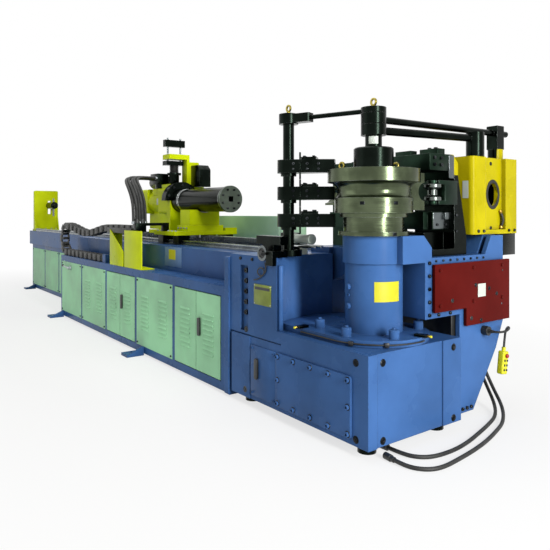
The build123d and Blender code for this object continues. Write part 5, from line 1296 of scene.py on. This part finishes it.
@dataclass
class BendArm:
    """The swinging arm with its red cover, its pendant and its fixings."""

    front: float = 185.0
    cover_front: float = 205.0
    grip: tuple[float, float, float] = (205.0, 791.0, 299.0)
    grip_lean: float = -8.0
    grip_below: float = 350.0

    # The radius of the heads, then where they are across and up the arm's front.
    front_screws: Sequence[tuple] = (
        (9.0, (189,), steps(551, 63, 5)),
        (6.0, steps(240, 56, 8), (811,)),
        (9.0, steps(452, 36, 3), (46,)),
        (8.0, (259, 350), (547,)),
        (8.0, (795,), (476,)),
    )
    cover_holes: Pairs = ((344, 610), (538, 674), (657, 648), (726, 615), (502, 506), (585, 488))
    cover_dots: Pairs = ((780, 737), (773, 557))
    key: Profile = ((6, -2), (6, 2.5), (5, 3.5), (0, 3.5))
    knob: Profile = ((6, -2), (6, 3), (11, 4), (11, 9), (9, 11), (0, 11))

    def fixings(self) -> None:
        """Puts bolts on the arm's strips, its foot and its red cover."""
        rows = [(radius, (self.front,), *spots) for radius, *spots in self.front_screws]
        stock = Stock().screw_rows(AHEAD, rows)
        for radius, holes in ((11.0, self.cover_holes), (5.0, self.cover_dots)):
            stock.heads(SUNK, AHEAD, radius, [(self.cover_front, *hole) for hole in holes])
        stock.release("arm_screws", SCREW, "arm")

    def label(self) -> None:
        """Sticks the bare white label on the red cover."""
        stock = Stock().block((self.cover_front, 556, 610), (self.cover_front + 1.4, 624, 678), 0.5, 1)
        stock.release("cover_label", FILM_WHITE, "arm")

    def shade_sheet(self) -> None:
        """Fixes a black sheet under the arm, bent so that it sweeps clear of the base's corners; it is
        painted shade for the gap under the arm.
        """
        stock = Stock().curved_plate(430, 5, (69, 113.5), (380, 532))
        stock.block((150, 403, 380), (156, 478, 532), 1.5).release("arm_guard", NYLON, "arm")

    def pendant_keys(self) -> None:
        """Puts two rows of keys and a stop knob on the pendant's grip."""
        place = turned_place(self.grip, self.grip_lean, "X")
        keys = Stock()
        for spot in product((18,), (-11, 11), steps(-50, -25, 3)):
            keys.turned(self.key, spot, AHEAD, 16)
        Stock().join(keys, place).release("pendant_keys", ABS, "arm")
        stop = Stock().turned(self.knob, (18, 0, -24), AHEAD, 20)
        Stock().join(stop, place).release("pendant_stop", RED_CAP, "arm")

    def dress(self) -> None:
        """Paints the arm and adds its fixings."""
        paint(BLUE, "bend_arm")
        paint(RED, "arm_cover")
        paint(BRIGHT, "bend_spindle")
        part_out("pendant", "arm", lambda low, high: PENDANT if high.z < self.grip_below else ABS)
        self.fixings()
        self.label()
        # Painted shade: a black sheet darkens the gap under the arm.
        self.shade_sheet()
        self.pendant_keys()


@dataclass
class BendTool:
    """The bend die, its rings, nut and tie rods."""

    nut: float = 97.0
    neck: float = 41.0
    neck_top: float = 1559.0
    key_holes: Route = ((-12, 172, 947), (-14, 190, 1091), (-62, 190, 1091))

    def is_eye(self, at: Vector) -> bool:
        """Tells that a face of the nut belongs to one of its lifting eyes."""
        return at.z > self.neck_top + 0.5 or math.hypot(at.x, at.y) > self.nut + 6

    def key_sockets(self) -> None:
        """Puts dark square blocks in the rims of the die and its ring, as painted shade inside their square
        sockets.
        """
        stock = Stock()
        for turn, radius, height in self.key_holes:
            socket = Stock().block((-6, -11, -8), (0.9, 11, 8), 1.0)
            stock.join(socket, turned_place(around(turn, radius, height), turn))
        stock.release("key_sockets", SCREW, "arm")

    def dress(self) -> None:
        """Finishes the turned tools and darkens the nut and rods."""
        paint(DIE, "die_rings", "bend_die")
        two_tone("die_nut", "arm", BLACK, GOLD, self.is_eye)
        paint(BLACK, "tie_rods")
        # Painted shade: dark blocks stand for the shadow in the square sockets.
        self.key_sockets()
        label = Stock().curved_plate(self.neck, 0.9, (-80, -14), (1379, 1416))
        label.release("neck_label", FILM_WHITE, "arm")


@dataclass
class ClampUnit:
    """The clamp tower, its sliding carrier and the roller."""

    ram: Pair = (7.0, 1148.0)
    ram_radius: float = 26.0
    carrier_back: float = 492.0
    cap_from: float = 460.0
    plug_from: float = 1000.0
    trim_middle: tuple[float, float, float] = (125.0, 815.0, 1148.0)
    trim_radius: float = 56.0
    trim_wire: float = 8.0

    # The hollow in the tower, along each axis.
    hollow: Pairs = ((-100, 99), (700, 910), (940, 2000))
    # Corners and edge radius of the bright plates.
    plates: Sequence[tuple] = (
        ((126, 420, 1225), (129, 461, 1343), 1.0),
        ((96, 332, 964), (99, 461, 1048), 1.0),
        ((99, 410, 1012), (112, 461, 1048), 1.5),
    )
    # The radius of the heads, then their places along each axis.
    side_screws: Sequence[tuple] = (
        (9.0, (126,), (360, 305), (1290, 1325)),
        (7.0, (130,), (477,), (1205, 1120, 1035, 950)),
        (7.0, (99,), (360, 430), (985,)),
    )
    top_screws: Sequence[tuple] = (
        (10.0, (-90, -50), (400,), (1345,)),
        (10.0, (20, 60), (400,), (1379,)),
    )
    hose: Route = ((131, 880, 1050), (140, 888, 1020), (140, 890, 995), (131, 884, 968))
    hose_end: Profile = ((7, -10), (10, -9), (10, 2), (8.4, 6), (7, 7))

    def tool_finish(self, low: Vector, high: Vector) -> Finish:
        """Chooses the finish of a clamp tool from where it is."""
        return YELLOW if low.y > self.cap_from else GREEN

    def is_ram(self, at: Vector) -> bool:
        """Tells that a face of the carrier belongs to its piston rod."""
        off = math.hypot(at.x - self.ram[0], at.z - self.ram[1])
        return at.y > self.carrier_back + 1 and off < self.ram_radius + 1

    def is_shaded_hollow(self, at: Vector) -> bool:
        """Tells that a face of the tower lies in its hollow, which isn't painted: its black is bare oily
        steel and painted shade of the hollow too.
        """
        return all(low < place < high for (low, high), place in zip(self.hollow, at))

    def tool_plates(self) -> None:
        """Fixes the bright end plates and their screws to the clamp tools."""
        plates = Stock()
        for plate in self.plates:
            plates.block(*plate)
        plates.release("clamp_plates", DRAWN, "clamp")
        screws = Stock().screw_rows(AHEAD, self.side_screws).screw_rows(UP, self.top_screws)
        screws.release("clamp_screws", SCREW, "clamp")

    def tower_fittings(self) -> None:
        """Adds the tower's bolts, bare label and short hose."""
        bolts = Stock().heads(SUNK, AHEAD, 11.0, product((124,), (796,), (1318, 962)))
        bolts.heads(CAP, AHEAD, 8.0, product((150,), (640, 690, 930, 985), (948,)))
        bolts.release("tower_bolts", SCREW, "arm")
        Stock().block((84, 594.6, 1125), (120, 596, 1218), 0.5, 1).release("tower_label", FILM_WHITE, "arm")
        wire = [around(turn, self.trim_wire, 0) for turn in steps(0, 36, 10)]
        section = [(self.trim_radius + spot.x, spot.y) for spot in wire]
        ring = Stock().turned(section, (0, 0, 0), AHEAD, 28, Ends.JOINED)
        oval = Matrix.Translation(self.trim_middle) @ Matrix.Diagonal((0.5, 1.0, 1.3, 1.0))
        Stock().join(ring, oval).release("window_trim", RUBBER, "arm")
        line = smooth(self.hose, 4.0)
        Stock().tube(line, 7.0, 10).release("tower_hose", RUBBER, "arm")
        ends = Stock()
        for end, inner in ((0, 1), (-1, -2)):
            ends.turned(self.hose_end, line[end], line[inner] - line[end], 12)
        ends.release("tower_hose_ends", BRASS, "arm")

    def dress(self) -> None:
        """Paints the tower and darkens the tools."""
        # Painted shade: the tower's hollow is drawn black, partly for its bare oily steel and partly for the
        # shade inside it.
        two_tone("clamp_tower", "arm", YELLOW, BLACK, self.is_shaded_hollow)
        two_tone("clamp_carrier", "clamp", BLACK, CHROME, self.is_ram)
        part_out("clamp_cylinder", "arm", lambda low, high: ABS if low.y > self.plug_from else BLACK, 1.5)
        part_out("clamp_tools", "clamp", self.tool_finish, 2.0)
        paint(ROLLER, "clamp_roller")
        self.tool_plates()
        self.tower_fittings()


@dataclass
class PressUnit:
    """The pressure die and its slide."""

    front: float = -200.0
    wall_middle: float = 354.0
    wall_top: float = 1338.0

    def dress(self) -> None:
        """Finishes the slide and the die, and bolts the slide's wall."""
        paint(GREEN, "press_slide")
        paint(DIE, "press_die")
        wall = (self.wall_middle,)
        screws = Stock().heads(CAP, AHEAD, 9.0, product((self.front,), wall, (980, 1060, 1230, 1300)))
        screws.heads(CAP, UP, 11.0, product((-600, -500, -350, -250), wall, (self.wall_top,)))
        screws.release("press_screws", SCREW, "press_unit")


@dataclass
class WiperPost:
    """The wiper post with its holders, tie rod and handwheel."""

    post: Pair = (-462.0, -166.0)
    post_top: float = 1578.0
    turn: float = 40.0
    holder_half: float = 49.0
    wheel: Pair = (-470.0, 836.0)
    wheel_face: float = -337.5

    # Each holder's body and the height of its middle.
    levels: Sequence[tuple[str, float]] = (
        ("wiper_low", 1006.0),
        ("wiper_mid", 1149.0),
        ("wiper_high", 1292.0),
    )
    # Where the side of a holder is bolted, and how far that side leans there.
    side_bolts: Route = ((38, -56.5, -5), (110, -50.3, -5), (168, -40.6, 13.5))
    stop_rod: Profile = ((0, -71), (4, -71), (5, -70), (5, 70), (4, 71), (0, 71))
    bar: Profile = ((0, 0), (7, 0), (8, 1), (8, 204), (7, 205), (0, 205))
    shell: Profile = (
        (0, 0), (26, 0), (28, 2), (28, 18), (24, 20), (24, 128), (28, 130), (28, 148), (26, 150), (0, 150),
    )
    dish: Profile = ((14, 0), (14, 1), (18, 2), (25, 2), (27, 1), (27, 0))
    cap: Profile = ((13, 0), (13, 3), (9, 5), (0, 6))
    spare_loop: Route = (
        (-564, -322, 688), (-535, -323, 692), (-500, -326, 706), (-462, -326, 728), (-466, -327, 756),
        (-500, -330, 760), (-522, -330, 738), (-510, -327, 716), (-478, -324, 718), (-452, -324, 742),
        (-452, -324, 772), (-452, -330, 790),
    )

    def holder_fittings(self) -> None:
        """Bolts the side of each holder and gives it a black stop rod."""
        spot = turned_place((*self.post, 0), self.turn)
        for body, level in self.levels:
            screws = Stock()
            for x, y, lean in self.side_bolts:
                out = around(lean - 90, 1, 0)
                screws.heads(CAP, out, 8.0, [(x, y, level + 12)]).heads(CAP, out, 6.5, [(x, y, level - 16)])
            screws.heads(CAP, UP, 8.0, product((90, 140), (-22, 22), (level + self.holder_half,)))
            Stock().join(screws, spot).release(body + "_screws", SCREW, body)
            rod = Stock().turned(self.stop_rod, (74, -59, level), UP, 14)
            for z in (level - 24, level + 24):
                rod.block((64, -66, z - 7), (84, -52, z + 7), 2.0)
            Stock().join(rod, spot).release(body + "_rod", BLACK, body)

    def guide_unit(self) -> None:
        """Adds the small cylinder on two bright bars behind the post."""
        block = Stock().block((-592, -124, 816), (-506, -52, 936), 3.0)
        block.heads(CAP, AHEAD, 6.0, product((-506,), (-106, -70), (905,)))
        block.release("guide_block", BLACK, "frame")
        bars = Stock()
        for y in (-108, -68):
            bars.turned(self.bar, (-508, y, 866), AHEAD, 18)
        bars.release("guide_bars", CHROME, "frame")
        Stock().turned(self.shell, (-507, -88, 905), AHEAD, 24).release("guide_cylinder", BARREL, "frame")

    def cable_loop(self) -> None:
        """Hangs the thin cable's spare loop on the housing's side."""
        Stock().tube(smooth(self.spare_loop, 4.0), 3.4, 8).release("wheel_cable", RUBBER, "frame")

    def dress(self) -> None:
        """Darkens the post and its holders, and brightens the handwheel."""
        two_tone("wiper_post", "frame", BLACK, GOLD, lambda at: at.z > self.post_top + 0.5)
        paint(BLACK, "wiper_holder_1", "wiper_holder_2", "wiper_holder_3", "tie_rod_fixed")
        two_tone("hand_wheel", "wheel", DRAWN, ABS, lambda at: at.y < self.wheel_face - 5)
        (x, z), face = self.wheel, self.wheel_face
        Stock().turned(self.dish, (x, face + 6, z), DOORS, 32).release("wheel_dish", ABS, "wheel")
        Stock().turned(self.cap, (x, face - 4, z), DOORS, 24).release("wheel_cap", ABS, "wheel")
        self.holder_fittings()
        self.guide_unit()
        self.cable_loop()


@dataclass
class Bed:
    """The bed cabinet, its doors, panels, rails and feet, and the cabinets behind it."""

    beam_face: float = -150.0
    leaf_face: float = -319.5
    tail_face: float = 18.0
    back_face: float = 590.0
    box_face: float = 870.0
    gauge_face: float = -4093.0
    screw_radius: float = 6.5
    screw_inset: float = 18.0
    screw_levels: Pair = (83.0, 545.0)
    cover_thick: float = 3.0
    clips_above: float = 800.0

    panels: Pairs = ((-3999, -3408), (-3374, -2783), (-2124, -1533))
    tail_panels: Pairs = ((-6506, -5922), (-5888, -5304), (-5269, -4685), (-4651, -4067))
    back_panel: Pair = (-1499, -908)
    lever_boss: Profile = ((0, 0), (22, 0), (22, 8), (14, 12), (14, 26), (10, 30), (0, 30))
    lever_knob: Profile = ((0, -14), (7, -12), (11, -4), (12, 4), (9, 12), (0, 15))
    bezel: Profile = ((21.8, 4), (24, 4), (24, -3), (22.6, -5), (19.6, -5), (19.6, -0.6))
    switch_knob: Profile = ((26, 0), (26, 6), (22, 8), (20, 20), (17, 24), (0, 24))
    lamp: Profile = ((13, 0), (13, 5), (10, 6), (10, 12), (7, 16), (0, 18))
    cowl: Profile = ((0, 0), (60, 0), (76, 6), (80, 14), (80, 60), (78, 62))
    filler: Profile = ((34, 0), (34, 8), (26, 10), (26, 40), (30, 42), (30, 58), (24, 62), (0, 62))
    hose_nut: Profile = ((15, 0), (15, 14), (12, 18), (12, 30), (10, 32))
    # What the electrical cabinet holds, by its places along the bed and upwards.
    vent_levels: Sequence[float] = (130, 830)
    duct_levels: Sequence[float] = (150, 400, 650, 900)
    duct_sides: Sequence[float] = (-2430, -1675)
    rail_levels: Sequence[float] = (285, 535, 785)
    gear_start: float = -2355.0
    gear_gap: float = 15.0
    gear_wide: Sequence[float] = (44, 72, 54)
    # Where each tank hose ends along the bed, and where it lies across.
    tank_hoses: Pairs = ((-1130, 100), (-1170, 145), (-1210, 190))

    def plates(self) -> None:
        """Fixes the pale backing and the bare yellow plate on the beam."""
        face = self.beam_face
        Stock().block((-1992, face - 2, 652), (-1723, face, 796), 0.8).release("beam_backing", PALE, "frame")
        film = Stock().block((-1922, face - 3.4, 704), (-1815, face - 2, 777), 0.6, 1)
        film.release("beam_plate", FILM_YELLOW, "frame")

    def panel_screws(self) -> None:
        """Puts a screw near each corner of the fixed panels."""
        stock = Stock()
        inset = self.screw_inset
        for face, spans in ((self.leaf_face, self.panels), (self.tail_face, self.tail_panels)):
            for x0, x1 in spans:
                spots = product((x0 + inset, x1 - inset), (face,), self.screw_levels)
                stock.heads(CAP, DOORS, self.screw_radius, spots)
        stock.release("panel_screws", SCREW, "frame")

    def lever(self) -> None:
        """Adds the bright lever on the last panel, with its boss and black knob."""
        stock = Stock().turned(self.lever_boss, (-3720, self.leaf_face, 510), DOORS)
        bar = evenly([Vector((-3720, -343, 510)), Vector((-3870, -347, 524))], 12.0)
        stock.tube(bar, steps(7.0, -2.0 / len(bar), len(bar)), 12).release("drain_lever", ZINC, "frame")
        knob = Stock().turned(self.lever_knob, (-3880, -347, 525), (-1, 0, 0.09), 18)
        knob.release("drain_lever_knob", ABS, "frame")

    def gauges(self) -> None:
        """Gives each pressure gauge its bezel and needle."""
        bezels, needles = Stock(), Stock()
        face = self.gauge_face
        for y, z in ((-252.5, 510), (-202.5, 470), (-152.5, 510)):
            bezels.turned(self.bezel, (face, y, z), AHEAD)
            needles.block((face - 2, y - 1.4, z - 4), (face - 0.6, y + 1.4, z + 15), 0.5, 1)
        bezels.release("gauge_bezels", ABS, "frame")
        needles.release("gauge_needles", RED_CAP, "frame")

    def back_covers(self) -> None:
        """Closes the back of the bed with plain screwed covers."""
        covers, screws = Stock(), Stock()
        face, inset = self.back_face + self.cover_thick, self.screw_inset
        for x0, x1 in (*self.panels[:2], self.back_panel, *self.tail_panels):
            covers.block((x0, self.back_face, 65), (x1, face, 563), 1.2)
            spots = product((x0 + inset, (x0 + x1) / 2, x1 - inset), (face,), self.screw_levels)
            screws.heads(CAP, REAR, self.screw_radius, spots)
        covers.release("back_covers", MINT, "frame")
        screws.release("back_cover_screws", SCREW, "frame")

    def cabinet_front(self) -> None:
        """Puts vents, a main switch and pilot lamps on the electrical cabinet's door."""
        face = self.box_face
        vents = Stock()
        for low in self.vent_levels:
            vents.block((-2160, face, low), (-1900, face + 4, low + 110), 1.5)
            for z in steps(low + 12, 16, 6):
                vents.block((-2148, face + 3, z), (-1912, face + 9, z + 7), 1.5)
        vents.release("cabinet_vents", ABS, "cabinet_door")
        plate = Stock().block((-1850, face, 690), (-1760, face + 3, 780), 1.2)
        plate.release("switch_plate", FILM_YELLOW, "cabinet_door")
        switch = Stock().turned(self.switch_knob, (-1805, face + 3, 735), REAR)
        switch.block((-1812, face + 24, 712), (-1798, face + 32, 758), 3.0)
        switch.release("main_switch", RED_CAP, "cabinet_door")
        for i, finish in enumerate((FILM_WHITE, GREEN_CAP, RED_CAP)):
            lamp = Stock().turned(self.lamp, (-1845 + 40 * i, face, 640), REAR, 20)
            lamp.release(f"pilot_lamp_{i + 1}", finish, "cabinet_door")

    def cabinet_inside(self) -> None:
        """Fills the electrical cabinet with its mounting plate, ducts, rails and switch gear."""
        back = self.back_face + 22
        front, rail = back + 3, back + 11
        Stock().block((-2450, back, 110), (-1610, front, 970), 1.0).release("cabinet_plate", ZINC, "frame")
        ducts = Stock()
        for z in self.duct_levels:
            ducts.block((-2430, front, z), (-1630, front + 60, z + 45), 1.5)
        for x in self.duct_sides:
            ducts.block((x, front, 195), (x + 45, front + 60, 900), 1.5)
        ducts.release("cabinet_ducts", DUCT, "frame")
        rails = Stock()
        gear = {finish: Stock() for finish in (ABS, DUCT, FILM_WHITE)}
        for row, z in enumerate(self.rail_levels):
            rails.block((-2370, front, z - 17), (-1690, rail, z + 17), 0.8, 1)
            x = self.gear_start
            for k in range(9):
                wide = self.gear_wide[(k + row) % 3]
                stock = gear[(ABS, FILM_WHITE, DUCT)[(k + 2 * row) % 3]]
                tall, deep = (62, 88) if wide > 60 else (46, 66)
                stock.block((x, rail, z - tall), (x + wide, rail + deep, z + tall), 2.5)
                stock.block((x + 8, back + deep, z - 16), (x + wide - 8, back + deep + 19, z + 16), 2.0)
                x += wide + self.gear_gap
        rails.release("cabinet_rails", ZINC, "frame")
        for finish, stock in gear.items():
            stock.release(f"cabinet_gear_{finish.colour[1:].lower()}", finish, "frame")

    def hydraulics(self) -> None:
        """Gives the tank its filler, the motor its cowl and the valves their hoses."""
        stock = Stock().turned(self.cowl, (-2453.5, -166, 192), REAR)
        for x in steps(-2508, 16, 7):
            stock.block((x, -168, 150), (x + 6, -165, 234), 1.0)
        stock.release("motor_cowl", ABS, "frame")
        Stock().turned(self.filler, (-2640, 60, 357), UP).release("tank_filler", ZINC, "frame")
        hoses, nuts = Stock(), Stock()
        for x, y in self.tank_hoses:
            route = [(-2300, y, 357), (-2300, y, 430), (-2180, y, 470), (-1700, y, 440), (-1210, y, 470)]
            line = smooth([*route, (x, y, 430), (x, y, 327)], 22.0)
            hoses.tube(line, 11.0, 10)
            for end in (line[0], line[-1]):
                nuts.turned(self.hose_nut, end, UP, 6)
        hoses.release("tank_hoses", RUBBER, "frame")
        nuts.release("tank_hose_nuts", ZINC, "frame")

    def bracket_finish(self, low: Vector, high: Vector) -> Finish:
        """Chooses the finish of a solid of the chain's brackets from where it is."""
        return NYLON if low.z > self.clips_above else LEMON

    def dress(self) -> None:
        """Paints the bed and its doors."""
        paint(BLUE, "bed_cabinet", "rail_beam", "tail_frame", "bed_feet")
        paint(MINT, "bed_panels", "door_a_left", "door_b_left")
        # The control cabinet takes the paler mint, painted light for its shaded faces.
        paint(MINT_PAINTED_LIGHTER, "control_cabinet", "control_door")
        for door, body in (("door_a_right", "door_a_near"), ("door_b_right", "door_b_near")):
            part_out(door, body, handles_and(MINT))
        paint(GROUND, "feed_rails")
        paint(GREY, "hydraulic_unit")
        part_out("chain_brackets", "frame", self.bracket_finish, 2.0)
        self.plates()
        self.panel_screws()
        self.lever()
        self.gauges()
        self.back_covers()
        self.cabinet_front()
        self.cabinet_inside()
        self.hydraulics()


@dataclass
class Carriage:
    """The feed carriage with its chuck, drives and crosshead."""

    axis: Pair = (220.0, 1149.0)
    nose_face: float = -1652.0
    flange_face: float = -2424.0
    rod_x: float = -2580.0
    rod_low: float = 1495.0
    rod_offset: float = 60.0
    gaiter: Pair = (1393.2, 1456.8)
    gaiter_radii: Pair = (31.0, 40.0)
    gaiter_ribs: int = 6
    rod_reach: float = 9.0
    nose_from: float = -1700.0

    barrel_ring: Profile = ((93, 0), (95.6, 0.6), (95.6, 9.4), (93, 10))

    def on_axis(self, x: float, turn: float, radius: float) -> Vector:
        """Returns a point about the chuck's axis from its turn in degrees and its radius."""
        spot = around(turn, radius, 0)
        return Vector((x, self.axis[0] + spot.x, self.axis[1] + spot.y))

    def is_rod(self, at: Vector) -> bool:
        """Tells that a face of the crosshead belongs to one of its guide rods."""
        off = math.hypot(at.x - self.rod_x, abs(at.y - self.axis[0]) - self.rod_offset)
        return at.z > self.rod_low + 1 and off < self.rod_reach

    def chuck_fittings(self) -> None:
        """Bolts the nose and the flange, and puts the bright rings on the barrel."""
        spots = [self.on_axis(self.nose_face, turn, 74) for turn in steps(22.5, 45, 8)]
        Stock().heads(CAP, AHEAD, 8.0, spots).release("nose_screws", SCREW, "chuck")
        spots = [self.on_axis(self.flange_face, turn, 132) for turn in steps(18, 36, 5)]
        Stock().heads(CAP, AHEAD, 11.0, spots).release("flange_bolts", SCREW, "carriage")
        rings = Stock()
        for x in (-2358, -2334, -1690):
            rings.turned(self.barrel_ring, (x, *self.axis), AHEAD, 48)
        rings.release("barrel_rings", BRIGHT, "chuck")

    def lift_gaiter(self) -> None:
        """Puts the ribbed gaiter over the lifting rod."""
        (low, high), (root, crest) = self.gaiter, self.gaiter_radii
        pitch = (high - low) / self.gaiter_ribs
        profile = [(0.0, 0.0), (root, 0.0)]
        for foot in steps(0, pitch, self.gaiter_ribs):
            profile += [(crest, foot + 0.35 * pitch), (crest, foot + 0.65 * pitch), (root, foot + pitch)]
        profile.append((0.0, high - low))
        foot, top = Vector((self.rod_x, self.axis[0], low)), Vector((self.rod_x, self.axis[0], high))
        folds = Stock().turned(profile, foot, UP, 32).release("lift_gaiter", RUBBER)
        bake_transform(folds)

    def saddle_fittings(self) -> None:
        """Puts the pale screws along the saddle and its cradle, and the bare plate on the gear housing."""
        screws = Stock().heads(CAP, UP, 9.0, product(steps(-2345, 62, 6), (-40,), (902,)))
        screws.heads(CAP, DOORS, 8.0, product(steps(-2180, 46, 4), (60,), (925,)))
        screws.release("saddle_screws", ZINC, "carriage")
        plate = Stock().block((-2708, 114.6, 1117), (-2642, 121, 1172), 0.8)
        plate.release("gear_plate", FILM_WHITE, "carriage")

    def dress(self) -> None:
        """Paints the carriage and darkens its chuck and drives."""
        paint(LEMON, "carriage_saddle", "gear_housing")
        paint(BLACK, "guide_blocks", "chuck_flange")
        two_tone("cross_head", "crosshead", BLACK, DRAWN, self.is_rod)
        part_out("carriage_drives", "carriage", lambda low, high: BLACK, 2.0)
        part_out("chuck_barrel", "chuck", lambda low, high: NOSE if low.x > self.nose_from else BLACK)
        paint(BRIGHT, "feed_pinion")
        self.chuck_fittings()
        self.lift_gaiter()
        self.saddle_fittings()


@dataclass
class TailUpright:
    """The yellow upright at the tail and its holder."""

    face: float = -6440.0
    foot_top: float = 824.0

    def dress(self) -> None:
        """Paints the upright, darkens its holder and adds the foot bolts and the steel rule."""
        paint(LEMON, "tail_upright")
        paint(BLACK, "mandrel_holder")
        spots = product((self.face + 30,), (70, 160, 240, 300), (self.foot_top,))
        Stock().heads(HEX, UP, 20.0, spots).release("upright_bolts", ZINC, "frame")
        rule = Stock().block((self.face, 262, 1000), (self.face + 1.6, 286, 1250), 0.5, 1)
        rule.release("upright_rule", GROUND, "frame")


def main() -> None:
    """Builds the sub-assemblies in order."""
    Studio().prepare()
    head_parts = (Head, BendArm, BendTool, ClampUnit, PressUnit, WiperPost)
    for part in (Cables, Chain, *head_parts, Bed, Carriage, TailUpright):
        log.info("building %s", part.__name__)
        part().dress()
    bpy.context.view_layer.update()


if __name__ == "__main__":
    main()
